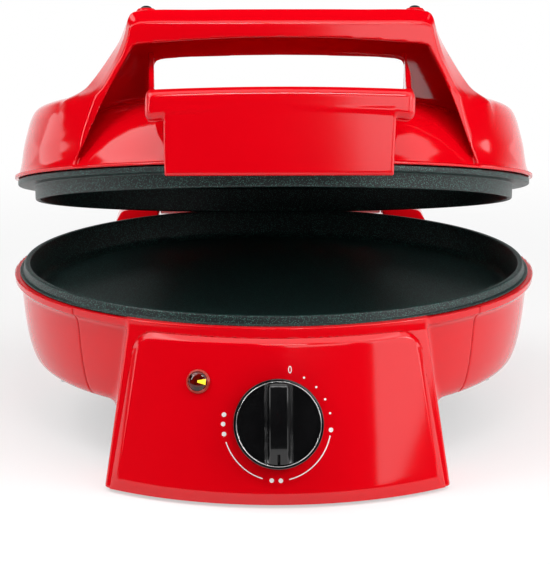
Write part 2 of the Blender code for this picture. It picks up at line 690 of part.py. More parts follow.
def bottom_cover():
    """The black cover under the bowl: a stepped disc cut straight in front of the pod, with the posts
    that carry the reflector and a ring of vents."""
    disc_radius = BOWL_LIP_RADIUS - SEAM_GAP
    step = BOWL_BOTTOM_HEIGHT + PLASTIC_WALL + SEAM_GAP
    profile = [(0, COVER_FLOOR_TOP), (disc_radius - PLASTIC_WALL, COVER_FLOOR_TOP),
               (disc_radius - PLASTIC_WALL, step + COVER_FLANGE), (COVER_FLANGE_RADIUS, step + COVER_FLANGE),
               (COVER_FLANGE_RADIUS, step), (disc_radius, step), (disc_radius, BOWL_BOTTOM_HEIGHT),
               (0, BOWL_BOTTOM_HEIGHT)]
    cover = turned("bottom_cover", profile, BLACK, BASE, closed=False)
    front = POD_BACK_Y + SEAM_GAP * 2
    cut(cover, box("cover_front", (-BOWL_RADIUS, -BOWL_RADIUS - OVERRUN, BOWL_BOTTOM_HEIGHT - OVERRUN),
                   (BOWL_RADIUS, front, PARTING_HEIGHT), None, BASE))
    for i, (x, y) in enumerate(circle_places(POST_COUNT, POST_CIRCLE, math.pi / 2)):
        post = rod(f"cover_post_{i + 1}", POST_RADIUS, (x, y, COVER_FLOOR_TOP - PLASTIC_WALL / 2),
                   (x, y, REFLECTOR_HEIGHT - SEAM_GAP), None, BASE, steps=SMALL_STEPS // 2)
        join(cover, post)
    for i, (x, y) in enumerate(circle_places(VENT_COUNT, VENT_CIRCLE, VENT_TURN)):
        cut(cover, rod(f"cover_vent_{i + 1}", VENT_RADIUS, (x, y, BOWL_BOTTOM_HEIGHT - OVERRUN),
                       (x, y, step + COVER_FLANGE + OVERRUN), None, BASE, steps=SMALL_STEPS // 2))
    cut(cover, *cover_screw_holes(SCREW_RADIUS + RUNNING_GAP, "cover_hole"))
    for i, angle in enumerate(COVER_SCREW_ANGLES):
        place = (COVER_SCREW_CIRCLE * math.cos(angle), COVER_SCREW_CIRCLE * math.sin(angle),
                 BOWL_BOTTOM_HEIGHT - SEAM_GAP - SCREW_HEAD)
        screw(f"cover_screw_{i + 1}", place, (0, 0, 1), PLASTIC_WALL + COVER_FLANGE, BASE)


PAN_LEDGE_WIDTH = 0.0062
PAN_LEDGE_RADIUS = PAN_RADIUS + PAN_LEDGE_WIDTH
PAN_LEDGE_HEIGHT = 0.0974
PAN_CREST_WIDTH = 0.0032
PAN_WALL_DRAFT = 0.0055
PAN_FILLET = 0.006
PAN_ROUND_SHARE = 0.3
PAN_CREST_ROUND = 0.0008


def lower_pan():
    """The non-stick pan: double-step rim resting on the bowl's flange, drawn wall and flat floor."""
    seat = BOWL_RIM_HEIGHT + SEAM_GAP
    step_radius = PAN_RADIUS + PAN_CREST_WIDTH
    corner = PAN_RADIUS - PAN_WALL_DRAFT
    profile = [
        (0, PAN_FLOOR), (corner - PAN_FILLET, PAN_FLOOR),
        (corner - PAN_FILLET * PAN_ROUND_SHARE, PAN_FLOOR + PAN_FILLET * PAN_ROUND_SHARE),
        (corner, PAN_FLOOR + PAN_FILLET),
        (PAN_RADIUS - PAN_CREST_ROUND, PARTING_HEIGHT - PAN_CREST_ROUND), (PAN_RADIUS, PARTING_HEIGHT),
        (step_radius - PAN_CREST_ROUND, PARTING_HEIGHT), (step_radius, PARTING_HEIGHT - PAN_CREST_ROUND),
        (step_radius + PAN_CREST_ROUND, PAN_LEDGE_HEIGHT + PAN_CREST_ROUND),
        (PAN_LEDGE_RADIUS - PAN_CREST_ROUND, PAN_LEDGE_HEIGHT),
        (PAN_LEDGE_RADIUS, PAN_LEDGE_HEIGHT - PAN_CREST_ROUND), (PAN_LEDGE_RADIUS, seat),
        (BOWL_NECK_RADIUS - SEAM_GAP, seat),
        (corner + SHEET_WALL, PAN_FLOOR + PAN_FILLET),
        (corner - PAN_FILLET * PAN_ROUND_SHARE + SHEET_WALL, PAN_FLOOR),
        (corner - PAN_FILLET, PAN_FLOOR - SHEET_WALL), (0, PAN_FLOOR - SHEET_WALL),
    ]
    turned("lower_pan", profile, PAN_BLACK, BASE, closed=False)


ELEMENT_RADIUS = 0.0035
ELEMENT_SHARE = 0.7105
ELEMENT_CIRCLE = PAN_RADIUS * ELEMENT_SHARE
ELEMENT_POINTS = 28
ELEMENT_GAP_ANGLE = math.radians(16)
TERMINAL_RISE = 0.0118
BLOCK_WIDTH = 0.036
BLOCK_DEPTH = 0.018
BLOCK_HEIGHT_SHARE = 0.47
BLOCK_FLOOR = COVER_FLOOR_TOP + SEAM_GAP
BLOCK_TOP = BLOCK_FLOOR + (REFLECTOR_HEIGHT - BLOCK_FLOOR) * BLOCK_HEIGHT_SHARE
TERMINAL_HOLE_RADIUS = ELEMENT_RADIUS * 3 / 2
TAIL_BEND = ELEMENT_RADIUS * 4
TAIL_LENGTH = ELEMENT_RADIUS * 5


def element_path(height, leg_end):
    """An almost closed ring whose two ends turn to the middle and then down or up to a terminal."""
    points = []
    start = math.pi / 2 + ELEMENT_GAP_ANGLE / 2
    turn = 2 * math.pi - ELEMENT_GAP_ANGLE
    for i in range(ELEMENT_POINTS):
        angle = start + turn * i / (ELEMENT_POINTS - 1)
        points.append((ELEMENT_CIRCLE * math.cos(angle), ELEMENT_CIRCLE * math.sin(angle), height))
    tails = []
    for x, y, z in (points[0], points[-1]):
        bend = (x, y - TAIL_BEND, z)
        tails.append([bend, (x, y - TAIL_LENGTH, z + (leg_end - z) / 4), (x, y - TAIL_LENGTH, leg_end)])
    return tails[0][::-1] + points + tails[1]


def lower_heat():
    """The tubular element under the pan and the bright dish that throws its heat up."""
    ring = PAN_FLOOR - SHEET_WALL - SEAM_GAP - ELEMENT_RADIUS
    path = element_path(ring, BLOCK_TOP + SEAM_GAP)
    tube("lower_heating_element", path, ELEMENT_RADIUS, ELEMENT_STEEL, BASE)
    floor = REFLECTOR_HEIGHT
    rim_radius = PAN_RADIUS - PAN_FILLET
    rim_height = PAN_FLOOR - SHEET_WALL * 2
    profile = [(0, floor + REFLECTOR_WALL), (ELEMENT_CIRCLE + REFLECTOR_SLOPE, floor + REFLECTOR_WALL),
               (rim_radius, rim_height), (rim_radius + REFLECTOR_WALL, rim_height),
               (ELEMENT_CIRCLE + REFLECTOR_SLOPE + REFLECTOR_WALL, floor), (0, floor)]
    dish = turned("lower_heat_reflector", profile, BRIGHT, BASE, closed=False)
    for i, place in enumerate((path[0], path[-1])):
        cut(dish, rod(f"terminal_hole_{i + 1}", TERMINAL_HOLE_RADIUS, (place[0], place[1], floor - OVERRUN),
                      (place[0], place[1], floor + OVERRUN), None, BASE, steps=SMALL_STEPS // 2))


REFLECTOR_SLOPE = 0.016
BLOCK_SLOTS = 3
BLOCK_SLOT = 0.006


def terminal_block():
    """A ceramic block under the element's ends, with an open slot for each lead."""
    middle = ELEMENT_CIRCLE - TAIL_LENGTH
    block = box("terminal_block", (-BLOCK_WIDTH / 2, middle - BLOCK_DEPTH / 2, BLOCK_FLOOR),
                (BLOCK_WIDTH / 2, middle + BLOCK_DEPTH / 2, BLOCK_TOP), CERAMIC, BASE)
    slot_floor = (BLOCK_FLOOR + BLOCK_TOP) / 2
    for i in range(BLOCK_SLOTS):
        x = BLOCK_WIDTH * ((2 * i + 1 - BLOCK_SLOTS) / (2 * BLOCK_SLOTS))
        cut(block, box(f"block_slot_{i + 1}", (x - BLOCK_SLOT / 2, middle - BLOCK_DEPTH, slot_floor),
                       (x + BLOCK_SLOT / 2, middle + BLOCK_DEPTH, BLOCK_TOP + OVERRUN), None, BASE))


THERMOSTAT_SIZE = (0.034, 0.034, 0.02)
THERMOSTAT_SETBACK = 0.0018
BUSHING_OUT = 0.0046
NUT_RADIUS = 0.0078
NUT_HEIGHT = 0.0024
SHAFT_INSIDE = 0.008


def knob_place(out):
    return along_normal(0, KNOB_CENTRE_HEIGHT, out)


def thermostat():
    """The thermostat behind the panel: box, threaded bushing through the panel and the nut on it."""
    width, tall, deep = THERMOSTAT_SIZE
    front = -PANEL_THICKNESS - THERMOSTAT_SETBACK
    work = bmesh.new()
    lean = Matrix.Rotation(math.pi / 2 - PANEL_LEAN, 4, "X")
    place = Matrix.Translation(knob_place(front - deep / 2)) @ lean @ Matrix.Diagonal((width, tall, deep, 1))
    bmesh.ops.create_cube(work, size=1, matrix=place)
    body = add_piece("thermostat_body", mesh_from("thermostat_body", work), BRIGHT, BASE)
    face = PANEL_RAISE + KNOB_BOSS_RISE
    join(body, rod("bushing", BUSHING_RADIUS, knob_place(front - SHAFT_INSIDE / 2),
                   knob_place(face + BUSHING_OUT), None, BASE))
    cut(body, rod("bushing_bore", SHAFT_RADIUS + RUNNING_GAP, knob_place(front - SHAFT_INSIDE - RUNNING_GAP),
                  knob_place(face + BUSHING_OUT + OVERRUN), None, BASE, steps=SMALL_STEPS // 2))
    nut = rod("thermostat_nut", NUT_RADIUS, knob_place(face + SEAM_GAP),
              knob_place(face + SEAM_GAP + NUT_HEIGHT), STEEL, BASE, steps=6)
    cut(nut, rod("nut_bore", BUSHING_RADIUS + RUNNING_GAP, knob_place(face - OVERRUN),
                 knob_place(face + OVERRUN * 2), None, BASE))


KNOB_GAP = 0.0005
KNOB_FACE_RADIUS = 0.0236
KNOB_CHAMFER = 0.0016
KNOB_DISH = 0.0022
KNOB_POCKET_RADIUS = 0.0105
KNOB_POCKET = 0.005
TRIM_RADIUS = 0.0239
TRIM_WIDTH = 0.0009
TRIM_DEPTH = 0.0012
GRIP_HALF_WIDTH = 0.0068
GRIP_TOP_HALF_WIDTH = 0.0046
GRIP_RISE = 0.0046
GRIP_END_SHARE = 0.965
POINTER_HALF_WIDTH = 0.0007
POINTER_LENGTH = 0.006
POINTER_DEPTH = 0.0006


def knob():
    """The black knob: turned cap with a dished face, a straight grip across it with a pointer groove,
    a bright ring let in round the face, and the thermostat's shaft in its socket."""
    low, high = KNOB_GAP, KNOB_GAP + KNOB_HEIGHT - GRIP_RISE
    groove_low = high - TRIM_DEPTH
    socket_top = high - KNOB_DISH - PLASTIC_WALL / 2
    profile = [
        (0, high - KNOB_DISH), (KNOB_FACE_RADIUS - KNOB_DISH * 2, high - KNOB_DISH),
        (KNOB_FACE_RADIUS - TRIM_WIDTH, high), (TRIM_RADIUS - TRIM_WIDTH, high),
        (TRIM_RADIUS - TRIM_WIDTH, groove_low), (TRIM_RADIUS + SEAM_GAP, groove_low),
        (TRIM_RADIUS + SEAM_GAP * 2, high - KNOB_CHAMFER / 2),
        (KNOB_RADIUS - SEAM_GAP, high - KNOB_CHAMFER * 2), (KNOB_RADIUS, low),
        (KNOB_POCKET_RADIUS, low), (KNOB_POCKET_RADIUS, low + KNOB_POCKET),
        (SHAFT_RADIUS + RUNNING_GAP, low + KNOB_POCKET), (SHAFT_RADIUS + RUNNING_GAP, socket_top),
        (0, socket_top),
    ]
    cap = turned("control_knob", profile, KNOB_BLACK, KNOB, closed=False, steps=TURN_STEPS // 2)
    reach = KNOB_FACE_RADIUS * GRIP_END_SHARE
    rings = []
    for z, half in ((high - KNOB_DISH * 1.5, GRIP_HALF_WIDTH), (high + GRIP_RISE / 2, GRIP_HALF_WIDTH),
                    (high + GRIP_RISE, GRIP_TOP_HALF_WIDTH)):
        long = math.sqrt(reach ** 2 - half ** 2)
        rings.append([(-half, -long, z), (half, -long, z), (half, long, z), (-half, long, z)])
    grip = lofted("knob_grip", rings, None, KNOB)
    join(cap, grip)
    top = high + GRIP_RISE
    cut(cap, box("pointer_groove", (-POINTER_HALF_WIDTH, -KNOB_RADIUS, top - POINTER_DEPTH),
                 (POINTER_HALF_WIDTH, POINTER_LENGTH - KNOB_FACE_RADIUS, top + OVERRUN), None, KNOB))
    ring_low, ring_high = groove_low + SEAM_GAP, high + SEAM_GAP
    ring_in, ring_out = TRIM_RADIUS - TRIM_WIDTH + SEAM_GAP, TRIM_RADIUS
    ring_profile = [(ring_in, ring_high), (ring_out, ring_high), (ring_out, ring_low), (ring_in, ring_low)]
    turned("knob_trim_ring", ring_profile, CHROME, KNOB, steps=TURN_STEPS // 2)
    shaft_low = -PANEL_RAISE - KNOB_BOSS_RISE - PANEL_THICKNESS - THERMOSTAT_SETBACK - SHAFT_INSIDE
    rod("thermostat_shaft", SHAFT_RADIUS, (0, 0, shaft_low), (0, 0, socket_top - SEAM_GAP), STEEL, KNOB,
        steps=SMALL_STEPS // 2)


LAMP_DOME = 0.0028
LAMP_FLANGE = 0.0008
LAMP_STEM = 0.012
LAMP_DOME_POINTS = 5
LAMP_BODY_RADIUS = 0.0068
LAMP_BODY = 0.013


def indicator():
    """The amber lamp: a domed lens whose stem passes the panel, and the holder behind it."""
    normal = panel_normal(LAMP_X)
    frame = new_frame("lamp_axis", along_normal(LAMP_X, LAMP_HEIGHT, PANEL_RAISE + LAMP_SEAT), BASE)
    frame.rotation_mode = "QUATERNION"
    frame.rotation_quaternion = normal.to_track_quat("Z", "Y")
    profile = []
    for i in range(LAMP_DOME_POINTS):
        angle = math.pi / 2 * i / (LAMP_DOME_POINTS - 1)
        profile.append((LAMP_RADIUS * math.sin(angle), LAMP_FLANGE + LAMP_DOME * math.cos(angle)))
    profile += [(LAMP_RADIUS, 0), (LAMP_STEM_RADIUS, 0), (LAMP_STEM_RADIUS, -LAMP_STEM), (0, -LAMP_STEM)]
    turned("indicator_lens", profile, AMBER, frame, closed=False, steps=SMALL_STEPS)
    top = -LAMP_SEAT - PANEL_RAISE - PANEL_THICKNESS - LAMP_SEAT
    bore = LAMP_STEM_RADIUS + RUNNING_GAP
    floor = -LAMP_STEM - SEAM_GAP
    holder = [(0, floor), (bore, floor), (bore, top), (LAMP_BODY_RADIUS, top),
              (LAMP_BODY_RADIUS, top - LAMP_BODY), (0, top - LAMP_BODY)]
    turned("indicator_holder", holder, BLACK, frame, closed=False, steps=SMALL_STEPS)


# Lid drum from the flange up to the crown, as shares of its radius and height.
DRUM_SHARES = (
    (1.0, 0.088), (1.0, 0.13), (0.981, 0.181), (0.974, 0.277), (0.966, 0.454), (0.951, 0.656), (0.938, 0.788),
    (0.922, 0.878), (0.895, 0.931), (0.83, 0.971), (0.623, 0.99), (0.374, 0.996), (0.0, 1.0),
)
# The low dome under the hood, which shows in front.
DOME_SHARES = (
    (1.02, 0.122), (0.985, 0.126), (0.968, 0.229), (0.95, 0.328), (0.917, 0.481), (0.878, 0.614),
    (0.83, 0.725), (0.78, 0.807), (0.71, 0.878), (0.63, 0.924), (0.50, 0.939), (0.37, 0.947), (0.0, 0.954),
)
HOOD_FRONT_SHARE = 0.66625
HOOD_DEPTH_SHARE = 0.3238
HOOD_FRONT_Y = -LID_RADIUS * HOOD_FRONT_SHARE
HOOD_DEPTH = LID_RADIUS * HOOD_DEPTH_SHARE
HOOD_BACK_Y = HOOD_FRONT_Y + HOOD_DEPTH
LID_OPENING_MARGIN = 0.0071
LID_OPENING_RADIUS = LID_RADIUS - LID_OPENING_MARGIN
LID_UNDERSIDE = DRUM_SHARES[0][1] * LID_HEIGHT
LID_CUT_DEPTH = 0.012


def dome_solid(name, shares, wall, floor, finish=None, reach=LID_RADIUS * 2):
    """A turned solid under a dome given from rim to crown, moved in by a wall, flat below and no wider
    than its reach."""
    points = shrunk(scaled(shares, LID_RADIUS, LID_HEIGHT), wall)
    points[-1] = (0, points[-1][1])
    while points[1][0] > reach:
        points.pop(0)
    if points[0][0] > reach:
        points[0] = Vector(points[0]).lerp(points[1], (points[0][0] - reach) / (points[0][0] - points[1][0]))
    outer = points[0][0]
    return turned(name, points[::-1] + [(outer, floor), (0, floor)], finish, LID, closed=False)


# The hood's half section, from the middle of the bridge out and down to the foot, as shares of the
# foot's half width and of the bridge's height: at the front edge, behind it and at the back.
HOOD_FOOT_SHARE = 0.7721
HOOD_FOOT_HALF_WIDTH = LID_RADIUS * HOOD_FOOT_SHARE
HOOD_FACE_SHARES = ((0.0, 0.909), (0.355, 0.908), (0.645, 0.902), (0.69, 0.885), (0.712, 0.781),
                    (0.738, 0.711), (0.764, 0.644), (0.794, 0.558), (0.825, 0.472), (0.822, 0.274))
HOOD_CROWN_SHARES = ((0.0, 1.0), (0.355, 0.998), (0.653, 0.984), (0.69, 0.96), (0.734, 0.817),
                     (0.77, 0.721), (0.805, 0.635), (0.841, 0.553), (0.883, 0.475), (0.88, 0.274))
HOOD_REAR_SHARES = ((0.0, 0.99), (0.355, 0.988), (0.661, 0.98), (0.705, 0.954), (0.769, 0.816),
                    (0.834, 0.696), (0.891, 0.592), (0.944, 0.513), (1.0, 0.455), (0.99, 0.274))
# Each station along the hood: its place as a share of the depth, its section, its height share and
# the way the inner skin moves from it along the depth.
HOOD_STATION_SHARES = (
    (0.0, HOOD_FACE_SHARES, 1.0, 1), (0.154, HOOD_CROWN_SHARES, 1.0, 1), (0.52, HOOD_REAR_SHARES, 1.0, 0),
    (0.865, HOOD_REAR_SHARES, 0.985, 0), (1.0, HOOD_REAR_SHARES, 0.925, -1),
)
HOOD_CORNER = 3


def hood_ring(y, section, height_share, wall):
    """One upright cut across the hood, closed along its base and moved in by a wall."""
    half = []
    for i, (across, up) in enumerate(section):
        aside = wall if i >= HOOD_CORNER else 0.0
        lower = wall if i <= HOOD_CORNER else wall / 2
        half.append((across * HOOD_FOOT_HALF_WIDTH - aside, up * HOOD_HEIGHT * height_share - lower))
    return [(x, y, z) for x, z in half] + [(-x, y, z) for x, z in half[:0:-1]]


def hood_solid(name, wall):
    rings = []
    for share, section, height_share, inward in HOOD_STATION_SHARES:
        y = HOOD_FRONT_Y + HOOD_DEPTH * share + inward * wall
        rings.append(hood_ring(y, section, height_share, wall))
    return lofted(name, rings, None, LID)


# The opening under the bridge and the window in the hood's back wall, as shares of the foot's half
# width and of the bridge's height.
MOUTH_SHARES = ((0.0, 0.827), (0.355, 0.818), (0.68, 0.782), (0.692, 0.765), (0.744, 0.632),
                (0.795, 0.467), (0.885, 0.213), (0.93, 0.047), (0.93, -0.02))
WINDOW_SHARES = ((0.0, 0.775), (0.27, 0.77), (0.53, 0.75), (0.566, 0.735), (0.577, 0.705), (0.577, 0.541))
WINDOW_CUT_DEPTH = 0.007
KNUCKLE_RADIUS = 0.0078
BUSH_RADIUS = 0.0042
BUSH_LENGTH = 0.011
WEB_REACH_SHARE = 0.32
WEB_TOP_SHARES = (0.4, 0.6)
LID_POST_CIRCLE_SHARE = 0.5604
LID_POST_CIRCLE = LID_RADIUS * LID_POST_CIRCLE_SHARE
LID_POST_RADIUS = 0.0045


def mirrored(points):
    """A half outline closed by its mirror image, without doubling points on the middle line."""
    return list(points) + [(-x, z) for x, z in points[::-1] if x > 0]


def behind(name, y, carrier):
    """A cutter: everything behind a distance Y."""
    reach = LID_RADIUS + HINGE_SETBACK
    return box(name, (-reach, y, -LID_CUT_DEPTH), (reach, reach, HOOD_HEIGHT + OVERRUN), None, carrier)


def recess():
    """The open room under the bridge: all in front of the hood, its mouth and the hollow behind it, down
    to the low dome and back to the hood's rear wall."""
    reach = LID_RADIUS + OVERRUN
    room = box("hood_recess", (-reach, -reach, 0), (reach, HOOD_FRONT_Y, HOOD_HEIGHT + OVERRUN), None, LID)
    outline = mirrored(scaled(MOUTH_SHARES, HOOD_FOOT_HALF_WIDTH, HOOD_HEIGHT))
    mouth = flat_piece("hood_mouth", outline, PLASTIC_WALL * 4, facing_plane(HOOD_FRONT_Y), None, LID)
    drum_room = dome_solid("drum_room", DRUM_SHARES, PLASTIC_WALL, -LID_CUT_DEPTH)
    depth_limits = box("drum_room_limits", (-LID_RADIUS, HOOD_FRONT_Y + PLASTIC_WALL / 2, -LID_CUT_DEPTH * 2),
                       (LID_RADIUS, HOOD_BACK_Y - PLASTIC_WALL, HOOD_HEIGHT), None, LID)
    combine(drum_room, depth_limits, "INTERSECT")
    join(room, mouth, hood_solid("hood_hollow", PLASTIC_WALL), drum_room)
    return cut(room, dome_solid("low_dome", DOME_SHARES, 0, -LID_CUT_DEPTH * 3))


def knuckle(lid):
    """The lid's half of the hinge: a barrel on the hinge axis and the web that joins it to the drum."""
    barrel = rod("knuckle_barrel", KNUCKLE_RADIUS, (-KNUCKLE_HALF_WIDTH, HINGE_Y, 0),
                 (KNUCKLE_HALF_WIDTH, HINGE_Y, 0), None, LID)
    tangent = (KNUCKLE_RADIUS - RUNNING_GAP) * math.sin(math.pi / 4)
    inner_y = HINGE_Y - LID_RADIUS * WEB_REACH_SHARE
    low = LID_UNDERSIDE + SEAM_GAP
    outline = [(HINGE_Y + tangent, tangent), (HINGE_Y - tangent, LID_HEIGHT * WEB_TOP_SHARES[0]),
               (inner_y, LID_HEIGHT * WEB_TOP_SHARES[1]), (inner_y, low), (HINGE_Y - tangent, low),
               (HINGE_Y, 0)]
    web = flat_piece("knuckle_web", outline, (KNUCKLE_HALF_WIDTH - SEAM_GAP) * 2, upright_plane(0), None, LID)
    join(lid, web, barrel)


def hinge_bushes(lid):
    """Bores at the ends of the knuckle, each with a nylon bush for the pin."""
    for side, label in ((-1, "left"), (1, "right")):
        face = Vector((side * KNUCKLE_HALF_WIDTH, HINGE_Y, 0))
        into = Vector((-side, 0, 0))
        cut(lid, rod("bush_bore_" + label, BUSH_RADIUS + SEAM_GAP, face + into * (BUSH_LENGTH + SEAM_GAP),
                     face - into * OVERRUN, None, LID))
        pin_room = KNUCKLE_HALF_WIDTH - PIN_INNER_X + SEAM_GAP
        cut(lid, rod("pin_room_" + label, PIN_RADIUS + RUNNING_GAP, face + into * pin_room,
                     face - into * OVERRUN, None, LID))
        bush = rod("hinge_bush_" + label, BUSH_RADIUS, face + into * BUSH_LENGTH, face, NYLON, LID)
        cut(bush, rod("bush_hole_" + label, PIN_RADIUS + RUNNING_GAP, face + into * (BUSH_LENGTH + OVERRUN),
                      face - into * OVERRUN, None, LID))


def lid_shell():
    """The moulded lid: drum, hood with its bridge and window, low dome in front, hinge knuckle."""
    shell = dome_solid("lid_shell", DRUM_SHARES, 0, LID_UNDERSIDE, RED)
    join(shell, hood_solid("hood_block", 0))
    knuckle(shell)
    hinge_bushes(shell)
    cut(shell, recess())
    outline = mirrored(scaled(WINDOW_SHARES, HOOD_FOOT_HALF_WIDTH, HOOD_HEIGHT))
    window_y = HOOD_BACK_Y - PLASTIC_WALL / 2
    cut(shell, flat_piece("hood_window", outline, WINDOW_CUT_DEPTH, facing_plane(window_y), None, LID))
    rear = dome_solid("rear_hollow", DRUM_SHARES, PLASTIC_WALL, -LID_CUT_DEPTH * 2,
                      reach=LID_OPENING_RADIUS - SEAM_GAP)
    combine(rear, behind("rear_limit", HOOD_BACK_Y, LID), "INTERSECT")
    hollow = dome_solid("lid_hollow", DOME_SHARES, PLASTIC_WALL, -LID_CUT_DEPTH, reach=LID_OPENING_RADIUS)
    join(hollow, rear)
    foot = UPPER_REFLECTOR_HEIGHT + REFLECTOR_WALL + SEAM_GAP
    for i, (x, y) in enumerate(circle_places(POST_COUNT, LID_POST_CIRCLE, math.pi / 2)):
        cut(hollow, rod(f"lid_post_{i + 1}", LID_POST_RADIUS, (x, y, foot), (x, y, LID_HEIGHT), None, LID,
                        steps=SMALL_STEPS // 2))
    cut(shell, hollow)


UPPER_PAN_UNDERSIDE = 0.009
UPPER_PAN_RING_MARGIN = 0.0037
UPPER_PAN_RING_RADIUS = PAN_RADIUS - UPPER_PAN_RING_MARGIN
UPPER_PAN_RING_DEPTH = 0.0083
UPPER_PAN_RING_WIDTH = 0.0032
UPPER_PAN_LIP_MARGIN = 0.002
UPPER_PAN_LIP_RADIUS = LID_RADIUS - UPPER_PAN_LIP_MARGIN
UPPER_PAN_GAP = 0.0006
UPPER_REFLECTOR_HEIGHT = 0.022


def upper_pan():
    """The lid's pan: a flat lip under the lid's flange, a ring that dips into the lower pan, and the
    raised plate inside it."""
    lip_top = LID_UNDERSIDE - SEAM_GAP * 2
    ring_out, ring_in = UPPER_PAN_RING_RADIUS, UPPER_PAN_RING_RADIUS - UPPER_PAN_RING_WIDTH
    ring_low = -UPPER_PAN_RING_DEPTH
    soft = PAN_CREST_ROUND
    lip_out, lip_low = UPPER_PAN_LIP_RADIUS, UPPER_PAN_GAP
    plate_low, plate_top = UPPER_PAN_UNDERSIDE, UPPER_PAN_UNDERSIDE + SHEET_WALL
    profile = [
        (0, plate_top), (ring_in - SHEET_WALL, plate_top), (ring_in + SHEET_WALL, lip_low + SHEET_WALL * 2),
        (lip_out - SHEET_WALL, lip_low + SHEET_WALL), (lip_out - SHEET_WALL, lip_top), (lip_out, lip_top),
        (lip_out, lip_low), (ring_out + soft, lip_low),
        (ring_out, -soft), (ring_out - soft, ring_low + soft), (ring_out - soft * 2, ring_low),
        (ring_in + soft, ring_low), (ring_in, ring_low + soft),
        (ring_in - SHEET_WALL, plate_low - soft * 2), (ring_in - SHEET_WALL * 2, plate_low), (0, plate_low),
    ]
    turned("upper_pan", profile, PAN_BLACK, LID, closed=False)


def upper_heat():
    """The lid's element, lying on the pan, and the dish over it."""
    ring = UPPER_PAN_UNDERSIDE + SHEET_WALL + SEAM_GAP + ELEMENT_RADIUS
    path = element_path(ring, ring + TERMINAL_RISE)
    tube("upper_heating_element", path, ELEMENT_RADIUS, ELEMENT_STEEL, LID)
    low = UPPER_PAN_UNDERSIDE + SHEET_WALL + SEAM_GAP
    high = UPPER_REFLECTOR_HEIGHT
    rim = UPPER_PAN_RING_RADIUS - UPPER_PAN_RING_WIDTH - SHEET_WALL * 3
    shoulder = ELEMENT_CIRCLE + REFLECTOR_SLOPE
    profile = [(0, high + REFLECTOR_WALL), (shoulder, high + REFLECTOR_WALL), (rim, low + REFLECTOR_WALL),
               (rim, low), (rim - REFLECTOR_WALL, low), (shoulder - REFLECTOR_WALL, high), (0, high)]
    dish = turned("upper_heat_reflector", profile, BRIGHT, LID, closed=False)
    for i, place in enumerate((path[0], path[-1])):
        x, y, _ = place
        cut(dish, rod(f"upper_terminal_hole_{i + 1}", TERMINAL_HOLE_RADIUS, (x, y, high - OVERRUN),
                      (x, y, high + OVERRUN), None, LID, steps=SMALL_STEPS // 2))


# The side of the handle's tunnel, as shares of the bar's distance from the drum's axis and of the
# bridge's height: over the bar, up to the window, down the back and forward over the dome.
CHEEK_SHARES = (
    (0.955, 0.345), (0.96, 0.462), (0.90, 0.495), (0.78, 0.56), (0.58, 0.68), (0.40, 0.787), (0.382, 0.78),
    (0.382, 0.535), (0.51, 0.512), (0.64, 0.468), (0.735, 0.40), (0.82, 0.315), (0.88, 0.30),
)
GRIP_BAR_MARGIN = 0.0031
GRIP_BAR_Y = GRIP_BAR_MARGIN - LID_RADIUS
GRIP_BAR_DEPTH_SHARE = 0.0934
GRIP_BAR_DEPTH = LID_RADIUS * GRIP_BAR_DEPTH_SHARE
GRIP_BAR_HEIGHT_SHARE = 0.1624
GRIP_BAR_HEIGHT = HOOD_HEIGHT * GRIP_BAR_HEIGHT_SHARE
GRIP_BAR_CENTRE_SHARE = 0.3959
GRIP_BAR_CENTRE = HOOD_HEIGHT * GRIP_BAR_CENTRE_SHARE
GRIP_BAR_SHARE = 0.4701
GRIP_BAR_HALF_WIDTH = LID_RADIUS * GRIP_BAR_SHARE
GRIP_BAR_ARCH = 0.0028
GRIP_BAR_SWELL = 0.0022
GRIP_SECTION_POINTS = 12
GRIP_STATION_SHARES = (-1.0, -0.985, -0.93, -0.62, -0.31, 0.0, 0.31, 0.62, 0.93, 0.985, 1.0)
GRIP_END_SHARES = {1.0: 0.72, 0.985: 0.9, 0.93: 1.0}
GRIP_SQUARENESS_SHARE = 0.6
CHEEK_MARGIN = 0.001
CHEEK_THICKNESS = 0.0033
PLATE_SIDE = 0.0105
PLATE_DRAFT = 0.0012
PLATE_TOP_HALF_WIDTH = GRIP_BAR_HALF_WIDTH - PLATE_SIDE
PLATE_BOTTOM_HALF_WIDTH = PLATE_TOP_HALF_WIDTH - PLATE_DRAFT
PLATE_BOTTOM = -0.0031
PLATE_TOP_SHARE = 0.3553
PLATE_TOP = HOOD_HEIGHT * PLATE_TOP_SHARE
PLATE_THICKNESS = 0.004
PLATE_BEVEL = 0.0026


def grip_bar():
    """The rounded bar below the window, a little arched and deeper at its ends."""
    rings = []
    for share in GRIP_STATION_SHARES:
        size = GRIP_END_SHARES.get(abs(share), 1.0)
        centre = GRIP_BAR_CENTRE - GRIP_BAR_ARCH * share ** 2
        height = (GRIP_BAR_HEIGHT + GRIP_BAR_SWELL * share ** 2) * size
        ring = []
        for i in range(GRIP_SECTION_POINTS):
            angle = 2 * math.pi * (i + 0.5) / GRIP_SECTION_POINTS
            across, up = math.cos(angle), math.sin(angle)
            squarer = 1 / max(abs(across), abs(up)) ** GRIP_SQUARENESS_SHARE
            deep = GRIP_BAR_DEPTH / 2 * size * across * squarer
            ring.append((share * GRIP_BAR_HALF_WIDTH, GRIP_BAR_Y + deep, centre + height / 2 * up * squarer))
        rings.append(ring)
    return rings


